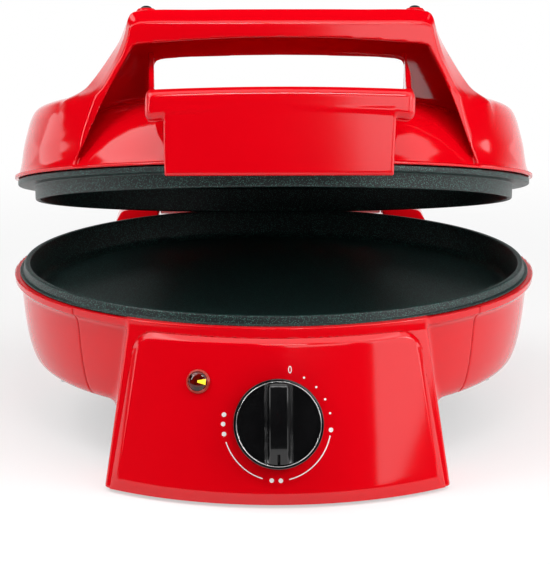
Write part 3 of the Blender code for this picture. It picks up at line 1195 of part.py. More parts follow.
def handle_insert():
    """The handle's inner moulding: grip bar, the two sides of the finger tunnel and the front plate."""
    insert = lofted("handle_insert", grip_bar(), RED, LID)
    outline = [(GRIP_BAR_Y * along, HOOD_HEIGHT * up) for along, up in CHEEK_SHARES]
    middle = GRIP_BAR_HALF_WIDTH - CHEEK_MARGIN - CHEEK_THICKNESS / 2
    for side, label in ((-1, "left"), (1, "right")):
        place = upright_plane(side * middle)
        join(insert, flat_piece("tunnel_side_" + label, outline, CHEEK_THICKNESS, place, None, LID))
    back = -LID_RADIUS - SEAM_GAP
    rings = []
    for depth, inset in ((0, 0), (PLATE_THICKNESS - PLATE_BEVEL, 0), (PLATE_THICKNESS, PLATE_BEVEL)):
        low = PLATE_BOTTOM + inset / 4
        bottom, top = PLATE_BOTTOM_HALF_WIDTH - inset, PLATE_TOP_HALF_WIDTH - inset
        rings.append([(x, back - depth, z) for x, z in
                      ((-bottom, low), (bottom, low), (top, PLATE_TOP), (-top, PLATE_TOP))])
    join(insert, lofted("front_plate", rings, None, LID))


LID_FOOT_SHARES = (0.4919, -0.5479)
LID_FOOT_X = LID_RADIUS * LID_FOOT_SHARES[0]
LID_FOOT_Y = LID_RADIUS * LID_FOOT_SHARES[1]
CUP_RADIUS = 0.006
CUP_HEIGHT = 0.0024
CUP_FLOOR_SHARE = 0.33
CUP_BASE_SHARE = 0.88
BUTTON_TIP_SHARE = 0.7
BUTTON_RADIUS = 0.0042


def hood_top_at(x):
    """The height of the bridge's top at a distance from its middle, behind its front edge."""
    points = scaled(HOOD_CROWN_SHARES, HOOD_FOOT_HALF_WIDTH, HOOD_HEIGHT)
    for (x0, z0), (x1, z1) in zip(points, points[1:]):
        if x0 <= x <= x1:
            return z0 + (z1 - z0) * (x - x0) / (x1 - x0)
    return HOOD_HEIGHT


def lid_feet():
    """The two small feet on the bridge that carry the lid when it lies fully open."""
    tip = PARTING_HEIGHT
    low = hood_top_at(LID_FOOT_X) + SEAM_GAP
    floor, rim = low + CUP_HEIGHT * CUP_FLOOR_SHARE, low + CUP_HEIGHT
    bore = BUTTON_RADIUS + SEAM_GAP
    for side, label in ((-1, "left"), (1, "right")):
        cup_profile = [(0, floor), (bore, floor), (bore + SEAM_GAP, rim), (CUP_RADIUS, rim - SEAM_GAP),
                       (CUP_RADIUS * CUP_BASE_SHARE, low), (0, low)]
        cup = turned("lid_foot_cup_" + label, cup_profile, RED, LID, closed=False, steps=SMALL_STEPS)
        button_profile = [(0, tip), (BUTTON_RADIUS * BUTTON_TIP_SHARE, tip),
                          (BUTTON_RADIUS, tip - CUP_HEIGHT / 4), (BUTTON_RADIUS, floor + SEAM_GAP),
                          (0, floor + SEAM_GAP)]
        button = turned("lid_foot_" + label, button_profile, RUBBER, LID, closed=False, steps=SMALL_STEPS)
        for piece in (cup, button):
            piece.location = (side * LID_FOOT_X, LID_FOOT_Y, 0)


clear_scene()
PARTS = new_collection("Electric pizza maker")
CUTTERS = new_collection("Cutters")

RED = new_material("Gloss red plastic", (0.75, 0.003, 0.006), 0.22)
BLACK = new_material("Matt black plastic", (0.018, 0.018, 0.019), 0.5)
KNOB_BLACK = new_material("Gloss black plastic", (0.006, 0.006, 0.007), 0.18)
PAN_BLACK = new_material("Non-stick coating", (0.03, 0.036, 0.036), 0.4, 0.2)
RUBBER = new_material("Black rubber", (0.015, 0.015, 0.015), 0.8)
STEEL = new_material("Steel", (0.6, 0.6, 0.6), 0.3, 1.0)
ELEMENT_STEEL = new_material("Heating element steel", (0.22, 0.21, 0.2), 0.45, 0.9)
BRIGHT = new_material("Bright sheet metal", (0.75, 0.75, 0.76), 0.25, 1.0)
CHROME = new_material("Chrome", (0.8, 0.8, 0.8), 0.08, 1.0)
AMBER = new_material("Amber lens", (0.85, 0.25, 0.01), 0.15)
NYLON = new_material("White nylon", (0.75, 0.74, 0.7), 0.5)
CERAMIC = new_material("Ceramic", (0.8, 0.78, 0.72), 0.6)

BASE = new_frame("base_middle", (0, BOWL_SETBACK, 0))
KNOB = new_frame("knob_axis", knob_place(PANEL_RAISE + KNOB_BOSS_RISE), BASE, math.pi / 2 - PANEL_LEAN)
LID_HINGE = new_frame("lid_hinge_axis", (0, HINGE_Y, PARTING_HEIGHT), BASE, -REST_TILT)
LID = new_frame("lid_middle", (0, -HINGE_Y, 0), LID_HINGE)

base_shell()
front_fascia()
control_panel()
pod_floor()
rubber_feet()
rear_legs()
bottom_cover()
lower_pan()
lower_heat()
terminal_block()
thermostat()
knob()
indicator()
lid_shell()
upper_pan()
upper_heat()
handle_insert()
lid_feet()
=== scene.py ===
"""Electric pizza maker: the visual model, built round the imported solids. Metres, +Z up, front at -Y."""

from math import asin, atan2, copysign, cos, degrees, hypot, pi, radians, sin, sqrt, tan

import bmesh
import bpy
import numpy as np
from mathutils import Matrix, Vector


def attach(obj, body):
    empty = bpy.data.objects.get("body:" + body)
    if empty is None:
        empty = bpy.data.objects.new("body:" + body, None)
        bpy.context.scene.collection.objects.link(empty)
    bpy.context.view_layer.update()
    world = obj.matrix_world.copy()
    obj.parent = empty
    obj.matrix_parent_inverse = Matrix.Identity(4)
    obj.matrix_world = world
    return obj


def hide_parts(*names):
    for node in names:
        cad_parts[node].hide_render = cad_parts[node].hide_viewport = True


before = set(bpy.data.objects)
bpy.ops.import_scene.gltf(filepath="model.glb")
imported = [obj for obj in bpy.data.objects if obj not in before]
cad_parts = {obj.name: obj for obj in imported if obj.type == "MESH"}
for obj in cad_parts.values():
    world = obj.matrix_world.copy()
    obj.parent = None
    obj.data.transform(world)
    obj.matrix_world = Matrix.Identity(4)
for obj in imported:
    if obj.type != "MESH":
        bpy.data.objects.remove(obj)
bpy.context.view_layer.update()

# The camera, solved from the two pan rims and the panel: 1.5 m in front of the pan's middle, a little
# to the left of it and 12 degrees up. It turns 0.83 degrees to the right and 13 degrees down.
CAMERA_PLACE = (-0.0205, -1.4559, 0.4251)
CAMERA_PITCH, CAMERA_PAN = radians(13.04), radians(0.83)


def new_object(name, data):
    made = bpy.data.objects.new(name, data)
    bpy.context.scene.collection.objects.link(made)
    return made


camera = new_object("camera", bpy.data.cameras.new("camera"))
camera.data.sensor_width = 36.0
camera.data.lens = 152.9
camera.data.clip_start = 0.05
camera.location = CAMERA_PLACE
camera.rotation_euler = (pi / 2 - CAMERA_PITCH, 0, -CAMERA_PAN)
bpy.context.scene.camera = camera
bpy.context.scene.view_settings.view_transform = "Standard"


# The studio: a pale sweep under the cooker and behind it, matt white paper. It shows as plain white
# to the camera and in reflections, and only the cooker's shadow darkens it.
def linear(colour):
    """A hex sRGB colour as linear red, green, blue and alpha."""
    shares = [int(colour[i:i + 2], 16) / 255 for i in (1, 3, 5)]
    return [s / 12.92 if s <= 0.04045 else ((s + 0.055) / 1.055) ** 2.4 for s in shares] + [1.0]


def node(tree, kind, settings=(), tones=(), **sockets):
    """Adds a shader node: settings are its own values, tones a ramp's places and hex colours, and sockets
    numbers, colours, outputs or nodes, which stand for their first output."""
    made = tree.nodes.new("ShaderNode" + kind)
    for key, value in dict(settings).items():
        setattr(made, key, value)
    for i, (place, colour) in enumerate(tones):
        made.color_ramp.elements[i].position = place
        made.color_ramp.elements[i].color = linear(colour)
    for key, value in sockets.items():
        socket = made.inputs[int(key[1:]) if key[1:].isdigit() else key.replace("_", " ")]
        if isinstance(value, bpy.types.Node):
            value = value.outputs[0]
        if isinstance(value, bpy.types.NodeSocket):
            tree.links.new(value, socket)
        else:
            socket.default_value = value
    return made


def new_finish(name):
    """An empty node material, its tree and the place on the object that its patterns follow."""
    finish = bpy.data.materials.new(name)
    finish.use_nodes = True
    finish.node_tree.nodes.clear()
    return finish, finish.node_tree, node(finish.node_tree, "TexCoord").outputs["Object"]


FLOOR_REACH, FADE_FROM, FADE_TO = 6.0, 0.25, 0.95
WHITE, LARGER, SMOOTH = linear("#FFFFFF"), {"operation": "MAXIMUM"}, {"interpolation_type": "SMOOTHSTEP"}
sheet = bpy.data.meshes.new("floor")
corners = [(x * FLOOR_REACH, y * FLOOR_REACH, 0) for x, y in ((-1, -1), (1, -1), (1, 1), (-1, 1))]
sheet.from_pydata(corners, [], [(0, 1, 2, 3)])
floor = new_object("floor", sheet)
finish, tree, place = new_finish("matt white paper")
away = node(tree, "VectorMath", {"operation": "LENGTH"}, i0=place)
fade = node(tree, "MapRange", SMOOTH, Value=away.outputs["Value"], From_Min=FADE_FROM, From_Max=FADE_TO)
paper = node(tree, "BsdfDiffuse", Color=linear("#B4B4B4"))
glow = node(tree, "Emission", Color=WHITE, Strength=0.52)
lit = node(tree, "AddShader", i0=paper, i1=glow)
white = node(tree, "Emission", Color=WHITE)
shown = node(tree, "MixShader", Fac=fade, i1=lit, i2=white)
plain = node(tree, "BsdfDiffuse", Color=linear("#E8E8E8"))
path = node(tree, "LightPath")
seen = node(tree, "Math", LARGER, i0=path.outputs["Is Camera Ray"], i1=path.outputs["Is Transmission Ray"])
seen = node(tree, "Math", LARGER, i0=seen, i1=path.outputs["Is Glossy Ray"])
paper = node(tree, "MixShader", Fac=seen, i1=plain, i2=shown)
node(tree, "OutputMaterial", Surface=paper)
sheet.materials.append(finish)

world = bpy.data.worlds.new("studio")
bpy.context.scene.world = world
world.use_nodes = True
tree = world.node_tree
tree.nodes.clear()
path = node(tree, "LightPath")
seen = node(tree, "Math", LARGER, i0=path.outputs["Is Camera Ray"], i1=path.outputs["Is Transmission Ray"])
# In reflections the white sweep stands low behind the cooker, and the rest of the room is dim.
way = node(tree, "SeparateXYZ", Vector=node(tree, "TexCoord").outputs["Generated"])
sweep = node(tree, "MapRange", SMOOTH, Value=way.outputs["Y"], From_Min=0.5, From_Max=0.97,
             To_Min=0.03, To_Max=1.0)
below = node(tree, "MapRange", SMOOTH, Value=way.outputs["Z"], From_Min=0.1, From_Max=0.3,
             To_Min=1.0, To_Max=0.05)
sweep = node(tree, "Math", {"operation": "MULTIPLY"}, i0=sweep, i1=below)
ambient = node(tree, "Background", Color=WHITE, Strength=0.15)
room = node(tree, "Background", Color=WHITE, Strength=sweep)
backdrop = node(tree, "Background", Color=WHITE)
shade = node(tree, "MixShader", Fac=path.outputs["Is Glossy Ray"], i1=ambient, i2=room)
either = node(tree, "MixShader", Fac=seen, i1=shade, i2=backdrop)
node(tree, "OutputWorld", Surface=either)

# Soft boxes stand round the cooker: low and high ones at the sides, two at the front right, of which the
# low one draws the pale zone on the panel, one overhead, and narrow strips that draw the bright lines
# along the rounded edges.
LAMP_AIM = Vector((0, 0, 0.1))


def soft_box(name, turn, rise, distance, size, radiance):
    """A rectangular lamp, so many degrees round from the front and up from the table, faced inward."""
    lamp = bpy.data.lights.new(name, "AREA")
    lamp.shape = "RECTANGLE"
    lamp.size, lamp.size_y = size
    lamp.energy = radiance * pi * size[0] * size[1]
    box = new_object(name, lamp)
    turn, rise = radians(turn), radians(rise)
    away = Vector((sin(turn) * cos(rise), -cos(turn) * cos(rise), sin(rise)))
    box.location = LAMP_AIM + away * distance
    box.rotation_euler = away.to_track_quat("Z", "Y").to_euler()


LAMPS = (
    ("soft_box_left", -94, 6, 1.4, (0.89, 0.23), 1.8),
    ("soft_box_rear_left", -121, 8, 1.4, (0.45, 0.3), 1.2),
    ("soft_box_low_right", 94, 6, 1.4, (0.89, 0.23), 2.4),
    ("soft_box_high_left", -84, 47, 1.4, (1.4, 0.7), 2.6),
    ("soft_box_right", 69, 38, 1.4, (1.7, 1.05), 1.45),
    ("soft_box_front_right", 17.3, 25.2, 1.56, (0.68, 0.36), 2.6),
    ("soft_box_low_front", 59, 13, 1.5, (1.05, 0.4), 1.9),
    ("soft_box_top", 0, 77, 1.15, (1.6, 0.6), 1.8),
    ("strip_top", 4, 48, 1.5, (0.4, 0.13), 17),
    ("strip_left", -60, 26, 1.3, (0.12, 0.5), 10),
    ("strip_right", 60, 26, 1.3, (0.12, 0.5), 10))
for lamp in LAMPS:
    soft_box(*lamp)

# Moulded red plastic pieces are described by distance fields: a number at each point in space that is
# negative in the plastic and zero on its surface. Sums of such fields give the fillets of a real mould.
CURVE_STEPS, PITCH, MARGIN = 6, 0.00025, 0.008
CELL = 0.0011
FINE_CELL = CELL * 0.75
BLOCK, BLOCK_REACH, SETTLINGS = 8, 1.2, 3


def flowing(points):
    """A smooth curve through the points (centripetal Catmull-Rom)."""
    p = np.array(points, float)
    p = np.vstack([2 * p[0] - p[1], p, 2 * p[-1] - p[-2]])
    out = []
    for a, b, c, d in zip(p, p[1:], p[2:], p[3:]):
        knots = np.cumsum([0] + [max(np.linalg.norm(v - u), 1e-9) ** 0.5 for u, v in ((a, b), (b, c), (c, d))])
        for t in np.linspace(knots[1], knots[2], CURVE_STEPS, endpoint=False):
            def mix(u, v, i, j):
                return (u * (knots[j] - t) + v * (t - knots[i])) / (knots[j] - knots[i])
            one, two, three = mix(a, b, 0, 1), mix(b, c, 1, 2), mix(c, d, 2, 3)
            out.append(mix(mix(one, two, 0, 2), mix(two, three, 1, 3), 1, 2))
    return [tuple(point) for point in out] + [tuple(points[-1])]


def distance_to(outline):
    """The signed distance to a closed outline, looked up in a fine table; negative inside."""
    outline = np.array(outline, float)
    low = outline.min(0) - MARGIN
    count = ((outline.max(0) + MARGIN - low) / PITCH).astype(int) + 2
    u, v = np.meshgrid(*(low[i] + PITCH * np.arange(count[i]) for i in range(2)), indexing="ij")
    nearest = np.full(u.shape, np.inf)
    inside = np.zeros(u.shape, bool)
    for (u0, v0), (u1, v1) in zip(outline, np.roll(outline, -1, axis=0)):
        du, dv = u1 - u0, v1 - v0
        if du == 0 and dv == 0:
            continue
        share = np.clip(((u - u0) * du + (v - v0) * dv) / (du * du + dv * dv), 0, 1)
        nearest = np.minimum(nearest, (u - u0 - share * du) ** 2 + (v - v0 - share * dv) ** 2)
        if dv:
            inside ^= ((v0 > v) != (v1 > v)) & (u < u0 + (v - v0) * du / dv)
    table = (np.where(inside, -1, 1) * np.sqrt(nearest)).astype(np.float32)

    def look_up(a, b):
        s = np.clip((a - low[0]) / PITCH, 0, count[0] - 1.001)
        t = np.clip((b - low[1]) / PITCH, 0, count[1] - 1.001)
        s, t = np.broadcast_arrays(s, t)
        i, j = s.astype(int), t.astype(int)
        s, t = s - i, t - j
        return ((table[i, j] * (1 - s) + table[i + 1, j] * s) * (1 - t)
                + (table[i, j + 1] * (1 - s) + table[i + 1, j + 1] * s) * t)
    return look_up


def both(a, b, fillet=0.0):
    """Where both solids are, with their common edge rounded."""
    if not np.any(fillet):
        return np.maximum(a, b)
    return np.maximum(a, b) + np.maximum(fillet - np.abs(a - b), 0) ** 2 / (4 * fillet)


def either_one(a, b, fillet):
    """Where either solid is, with a fillet along the joint."""
    return -both(-a, -b, fillet)


def skin_of(field, low, high, cell):
    """The surface of a field as quads: one point in each cell that the surface crosses, moved on to it."""
    low = np.array(low)
    counts = [np.arange((b - a) // (cell * BLOCK) + 1) for a, b in zip(low, high)]
    blocks = np.stack(np.meshgrid(*counts, indexing="ij"), -1).astype(int)
    middles = low + (blocks * BLOCK + (BLOCK - 1) / 2) * cell
    rough = field(*middles.reshape(-1, 3).T).reshape(blocks.shape[:3])
    value = rough.astype(np.float32).repeat(BLOCK, 0).repeat(BLOCK, 1).repeat(BLOCK, 2)
    within = np.stack(np.meshgrid(*[np.arange(BLOCK)] * 3, indexing="ij"), -1).reshape(-1, 3)
    close = blocks[np.abs(rough) < BLOCK * cell * BLOCK_REACH]
    for some in np.array_split(close, len(close) // 1000 + 1):
        at = (some[:, None] * BLOCK + within).reshape(-1, 3)
        value[tuple(at.T)] = field(*(low + at * cell).T)
    inside = value < 0
    homes, places, turned_over = [], [], []
    for axis in range(3):
        ahead, side, up = (np.eye(3, dtype=int)[(axis + i) % 3] for i in range(3))
        ends = [slice(1, -1)] * 3
        ends[axis] = slice(1, -2)
        first = inside[tuple(ends)]
        ends[axis] = slice(2, -1)
        at = np.argwhere(first != inside[tuple(ends)]) + 1
        here, there = value[tuple(at.T)], value[tuple((at + ahead).T)]
        homes.append(np.stack([np.ravel_multi_index(c.T, inside.shape)
                               for c in (at - side - up, at - up, at, at - side)], axis=1))
        places.append(at + ahead * (here / (here - there))[:, None])
        turned_over.append(~inside[tuple(at.T)])
    homes, flip = np.concatenate(homes), np.concatenate(turned_over)
    _, number = np.unique(homes, return_inverse=True)
    number = number.reshape(homes.shape)
    places = np.concatenate(places).repeat(4, axis=0)
    hits = np.bincount(number.ravel())
    points = np.stack([np.bincount(number.ravel(), weights=places[:, i]) / hits for i in range(3)], axis=1)
    points = low + points * cell
    quads = np.where(flip[:, None], number[:, ::-1], number)
    for _ in range(SETTLINGS):
        slope, here = slope_at(field, points, cell / 3)
        steep = np.maximum((slope ** 2).sum(1), 0.05)
        points -= slope * np.clip(here / steep, -cell / 2, cell / 2)[:, None]
    return points, quads


def slope_at(field, points, reach):
    """The field's gradient and value at the points."""
    slope = np.empty_like(points)
    for axis in range(3):
        shift = np.zeros(3)
        shift[axis] = reach
        ahead, behind = points + shift, points - shift
        slope[:, axis] = (field(*ahead.T) - field(*behind.T)) / (2 * reach)
    return slope, field(*points.T)


def red_plastic():
    """Glossy red PBT, moulded: an even deep red whose mirror gloss ripples faintly. A scale counts the
    pattern's repeats in a metre: a ripple in 22 mm and a cloud in 71 mm."""
    finish, tree, place = new_finish("glossy red moulded PBT")
    ripple = node(tree, "TexNoise", Vector=place, Scale=45.0, Detail=2.0)
    bump = node(tree, "Bump", Strength=0.02, Distance=0.001, Height=ripple)
    cloud = node(tree, "TexNoise", Vector=place, Scale=14.0, Detail=3.0)
    tone = node(tree, "ValToRGB", tones=((0, "#D90010"), (1, "#E20212")), Fac=cloud)
    haze = node(tree, "MapRange", Value=cloud, To_Min=0.07, To_Max=0.11)
    body = node(tree, "BsdfPrincipled", Base_Color=tone, Roughness=haze, IOR=1.5, Normal=bump)
    node(tree, "OutputMaterial", Surface=body)
    return finish


RED = red_plastic()


def placed(name, mesh, place, body, finish, replaced):
    """Sets a mesh in its place, on its body and in its finish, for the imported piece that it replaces."""
    mesh.transform(place)
    mesh.update()
    mesh.materials.append(finish)
    piece = new_object(name, mesh)
    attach(piece, body)
    if replaced:
        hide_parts(replaced)
    return piece


def smooth(mesh):
    mesh.polygons.foreach_set("use_smooth", [True] * len(mesh.polygons))


def moulded(name, field, low, high, place, body, replaced, cell=CELL):
    """A red plastic piece from a distance field, with the field's own normals."""
    points, quads = skin_of(field, low, high, cell)
    slope, _ = slope_at(field, points, PITCH)
    lengths = np.maximum(np.linalg.norm(slope, axis=1), 1e-9)
    mesh = bpy.data.meshes.new(name)
    mesh.from_pydata(points, [], quads)
    smooth(mesh)
    mesh.normals_split_custom_set_from_vertices((slope / lengths[:, None]).tolist())
    placed(name, mesh, place, body, RED, replaced)


# Lid shell: one red moulding of heat-proof plastic. A low drum carries a hood that arches forward to
# a bridge; under the bridge the moulding drops to a low dome, and a window goes through the hood's back.
PARTING_HEIGHT, LID_RADIUS, LID_HEIGHT = 0.102, 0.1606, 0.0524
BOWL_SETBACK, HINGE_Y, REST_TILT = 0.0087, 0.1766, radians(14.15)
WALL, EDGE, FINE_EDGE, SOFT_EDGE = 0.0025, 0.0012, 0.0008, 0.003
BASE_PLACE = Matrix.Translation((0, BOWL_SETBACK, 0))
LID_PLACE = (Matrix.Translation((0, BOWL_SETBACK + HINGE_Y, PARTING_HEIGHT))
             @ Matrix.Rotation(-REST_TILT, 4, "X") @ Matrix.Translation((0, -HINGE_Y, 0)))
# The outlines run on past the axis, the middle line and the rim, so that they close outside.
PAST_AXIS, PAST_MIDDLE, BELOW, FAR_BELOW = -0.03, -0.02, -0.02, -0.05


def turned_solid(shares, bottom, run_start):
    """The field of a turned solid: its profile from rim to crown, smooth from one point on."""
    points = [(r * LID_RADIUS, z * LID_HEIGHT) for r, z in shares]
    outline = points[:run_start] + flowing(points[run_start:])
    outline += [(PAST_AXIS, points[-1][1]), (PAST_AXIS, bottom), (points[0][0], bottom)]
    look_up = distance_to(outline)
    return lambda x, y, z: look_up(np.hypot(x, y), z)


DRUM = ((1.0, 0.088), (1.0, 0.128), (0.988, 0.136), (0.981, 0.181), (0.974, 0.277), (0.966, 0.454),
        (0.951, 0.656), (0.938, 0.788), (0.922, 0.878), (0.895, 0.931), (0.83, 0.971), (0.623, 0.99),
        (0.374, 0.996), (0.0, 1.0))
LOW_DOME = ((1.02, 0.12), (0.972, 0.126), (0.953, 0.21), (0.933, 0.31), (0.903, 0.45), (0.868, 0.58),
            (0.822, 0.70), (0.775, 0.79), (0.71, 0.868), (0.63, 0.92), (0.50, 0.939), (0.37, 0.947),
            (0.0, 0.954))
FLANGE_LOW, CAVITY_RADIUS = 0.088 * LID_HEIGHT, 0.1535
HOOD_FRONT, HOOD_BACK, HOOD_HALF_WIDTH, HOOD_HEIGHT = -0.107, -0.055, 0.124, 0.0985
HOOD_FACE = ((0.0, 0.909), (0.355, 0.908), (0.68, 0.902), (0.706, 0.888), (0.717, 0.82), (0.743, 0.711),
             (0.774, 0.644), (0.809, 0.558), (0.846, 0.472), (0.846, 0.274))
HOOD_CROWN = ((0.0, 1.0), (0.355, 0.998), (0.69, 0.985), (0.714, 0.96), (0.738, 0.84), (0.77, 0.721),
              (0.805, 0.635), (0.841, 0.553), (0.883, 0.475), (0.88, 0.274))
HOOD_REAR = ((0.0, 0.99), (0.355, 0.988), (0.70, 0.98), (0.728, 0.955), (0.766, 0.84), (0.834, 0.696),
             (0.891, 0.592), (0.944, 0.513), (1.0, 0.455), (0.99, 0.274))
MOUTH = ((0.0, 0.827), (0.17, 0.824), (0.355, 0.814), (0.52, 0.8), (0.66, 0.784), (0.69, 0.774),
         (0.701, 0.75), (0.752, 0.632), (0.815, 0.467), (0.896, 0.213), (0.947, 0.047), (0.95, -0.02))
WINDOW = ((0.0, 0.775), (0.27, 0.77), (0.56, 0.752), (0.594, 0.738), (0.606, 0.708), (0.606, 0.541))
# The hood's wall is thicker at its front rim and tapers over a few millimetres behind it.
TAPER_DEPTHS, TAPER_SHARES = (0.008, 0.011), (1.55, 1.1)
HOOD_FILLET, MOUTH_EDGE, WINDOW_REACH = 0.006, 0.0014, 0.006
HOOD_ASIDE, ASIDE_FROM, ASIDE_OVER = 0.0032, 0.012, 0.07
# The knuckle on the hinge axis and its web to the drum, with bores for the bushes and the pins.
BARREL_RADIUS, BARREL_HALF, BARREL_EDGE, KNUCKLE_FILLET = 0.0078, 0.0765, 0.001, 0.002
WEB_REACH, WEB_LOW, WEB_HALF, WEB_FRONT = 0.0053, 0.0049, 0.0762, HINGE_Y - LID_RADIUS * 0.32
BUSH_BORE, BUSH_FROM, PIN_BORE, PIN_FROM = 0.0045, 0.0653, 0.0032, 0.0642


def section_field(shares, smooth_points, bottom=None):
    """A symmetric section across the lid, given as its right half from the middle line outward."""
    points = [(x * HOOD_HALF_WIDTH, z * HOOD_HEIGHT) for x, z in shares]
    outline = [(PAST_MIDDLE, points[0][1])] + flowing(points[:smooth_points]) + points[smooth_points:]
    low = points[-1][1] if bottom is None else bottom
    return distance_to(outline + [(points[-1][0], low), (PAST_MIDDLE, low)])


def aside(z):
    """The hood sits a touch to the right of the hinge's middle, more so towards its top."""
    return HOOD_ASIDE * np.clip((z - ASIDE_FROM) / ASIDE_OVER, 0, 1)


def lid_field():
    drum, low_dome = turned_solid(DRUM, BELOW, 2), turned_solid(LOW_DOME, FAR_BELOW, 1)
    face, crown, rear = (section_field(shares, 9) for shares in (HOOD_FACE, HOOD_CROWN, HOOD_REAR))
    mouth, window = section_field(MOUTH, 12, BELOW), section_field(WINDOW, 5)
    stations, heights = (0, 0.154, 0.52, 0.865, 1), (1, 1, 1, 0.985, 0.925)
    sections = (face, crown, rear, rear, rear)
    root = HINGE_Y - WEB_REACH
    web_side = distance_to([
        (HINGE_Y + WEB_REACH, WEB_REACH), (root, LID_HEIGHT * 0.4), (WEB_FRONT, LID_HEIGHT * 0.6),
        (WEB_FRONT, WEB_LOW), (root, WEB_LOW), (HINGE_Y, 0)])

    def hood(x, y, z):
        """The hood's sections, blended from its front to its back."""
        share = np.clip((y - HOOD_FRONT) / (HOOD_BACK - HOOD_FRONT), 0, 1)
        result = np.zeros(np.broadcast(x, y, z).shape)
        for section, height, weights in zip(sections, heights, np.eye(len(stations))):
            weight = np.interp(share, stations, weights)
            if np.any(weight > 0):
                result = result + weight * section(np.abs(x), z / height)
        return result

    def shell(x, y, z):
        side = np.abs(x)
        shifted = np.abs(x - aside(z))
        drum_here, hood_here, dome_here = drum(x, y, z), hood(shifted, y, z), low_dome(x, y, z)
        hood_block = both(both(hood_here, HOOD_FRONT - y, EDGE), y - HOOD_BACK, SOFT_EDGE)
        outer = either_one(drum_here, hood_block, HOOD_FILLET)
        wall = WALL * np.interp(y - HOOD_FRONT, TAPER_DEPTHS, TAPER_SHARES)
        hollow = both(both(hood_here + wall, y - (HOOD_BACK - WALL), SOFT_EDGE), HOOD_FRONT + WALL - y)
        room = both(drum_here + WALL, np.maximum(HOOD_FRONT + WALL / 2 - y, y - (HOOD_BACK - WALL)))
        opening = np.maximum(mouth(shifted, z), np.abs(y - HOOD_FRONT) - 2 * WALL)
        recess = np.minimum(np.minimum(y - HOOD_FRONT, opening), np.minimum(hollow, room))
        recess = both(recess, -dome_here, SOFT_EDGE)
        body = both(outer, -recess, MOUTH_EDGE)
        hole = np.maximum(window(shifted, z), np.abs(y - HOOD_BACK) - WINDOW_REACH)
        body = both(body, -hole, MOUTH_EDGE)
        inside = np.maximum(body + WALL, np.hypot(x, y) - CAVITY_RADIUS)
        body = both(both(body, FLANGE_LOW - z, FINE_EDGE), -inside, FINE_EDGE)
        across = np.hypot(y - HINGE_Y, z)
        barrel = both(across - BARREL_RADIUS, side - BARREL_HALF, BARREL_EDGE)
        web = both(web_side(y, z), side - WEB_HALF, EDGE)
        web = np.maximum(web, -(drum_here + WALL / 2))
        body = either_one(body, either_one(barrel, web, KNUCKLE_FILLET), KNUCKLE_FILLET)
        bush_room = np.maximum(across - BUSH_BORE, BUSH_FROM - side)
        pin_room = np.maximum(across - PIN_BORE, PIN_FROM - side)
        return np.maximum(body, -np.minimum(bush_room, pin_room))
    return shell


moulded("lid_moulding", lid_field(), (-0.164, -0.164, -0.012), (0.164, 0.19, 0.103), LID_PLACE, "lid",
        "lid_shell")

# Handle insert: a second red moulding set into the lid's front: the grip bar below the window, the two
# sides of the finger tunnel behind it, and the plate that hangs in front of the lid.
INSERT_SHIFT, INSERT_LEAN_SHARE = 0.0009, 0.6
BAR_Y, BAR_HEIGHT, BAR_HALF, BAR_EDGE = -0.1575, 0.039, 0.0755, 0.006
# Half the bar's depth and thickness, its rounding, and how far it arches and swells.
BAR_DEEP, BAR_THICK, BAR_ROUND, BAR_ARCH, BAR_SWELL = 0.0075, 0.008, 0.0055, 0.0028, 0.0011
TUNNEL_SIDE = ((0.955, 0.345), (0.96, 0.462), (0.90, 0.495), (0.78, 0.56), (0.58, 0.68), (0.40, 0.787),
               (0.382, 0.78), (0.382, 0.535), (0.51, 0.512), (0.64, 0.468), (0.735, 0.40), (0.82, 0.315),
               (0.88, 0.30))
SIDE_RUN, SIDE_SPREAD = (-0.15, -0.06), (0.0722, 0.0768)
SIDE_HALF, SIDE_EDGE, BAR_FILLET = 0.00165, 0.001, 0.005
PLATE_RUN, PLATE_HALVES, PLATE_MIDDLE, PLATE_REACH = (-0.0031, 0.035), (0.0638, 0.065), 0.016, 0.0191
PLATE_Y, PLATE_HALF, PLATE_FACE_EDGE = -0.1629, 0.002, 0.0022
outline = [(BAR_Y * y, HOOD_HEIGHT * z) for y, z in TUNNEL_SIDE]
TUNNEL = distance_to(flowing(outline[:7]) + flowing(outline[7:] + outline[:1]))


def insert_field(x, y, z):
    x = x - INSERT_SHIFT - aside(z) * INSERT_LEAN_SHARE
    share = x / BAR_HALF
    across = np.abs(y - BAR_Y) - BAR_DEEP + BAR_ROUND
    up = np.abs(z - BAR_HEIGHT + BAR_ARCH * share ** 2) - (BAR_THICK + BAR_SWELL * share ** 2) + BAR_ROUND
    bar = np.hypot(np.maximum(across, 0), np.maximum(up, 0)) + np.minimum(np.maximum(across, up), 0)
    bar = both(bar - BAR_ROUND, np.abs(x) - BAR_HALF, BAR_EDGE)
    spread = np.interp(y, SIDE_RUN, SIDE_SPREAD)
    sides = both(TUNNEL(y, z), np.abs(np.abs(x) - spread) - SIDE_HALF, SIDE_EDGE)
    half = np.interp(z, PLATE_RUN, PLATE_HALVES)
    plate = both(np.abs(x) - half, np.abs(z - PLATE_MIDDLE) - PLATE_REACH, EDGE)
    plate = both(plate, np.abs(y - PLATE_Y) - PLATE_HALF, PLATE_FACE_EDGE)
    return either_one(either_one(bar, sides, BAR_FILLET), plate, EDGE)


moulded("handle_moulding", insert_field, (-0.079, -0.168, -0.006), (0.079, -0.054, 0.082), LID_PLACE,
        "lid", "handle_insert", FINE_CELL)

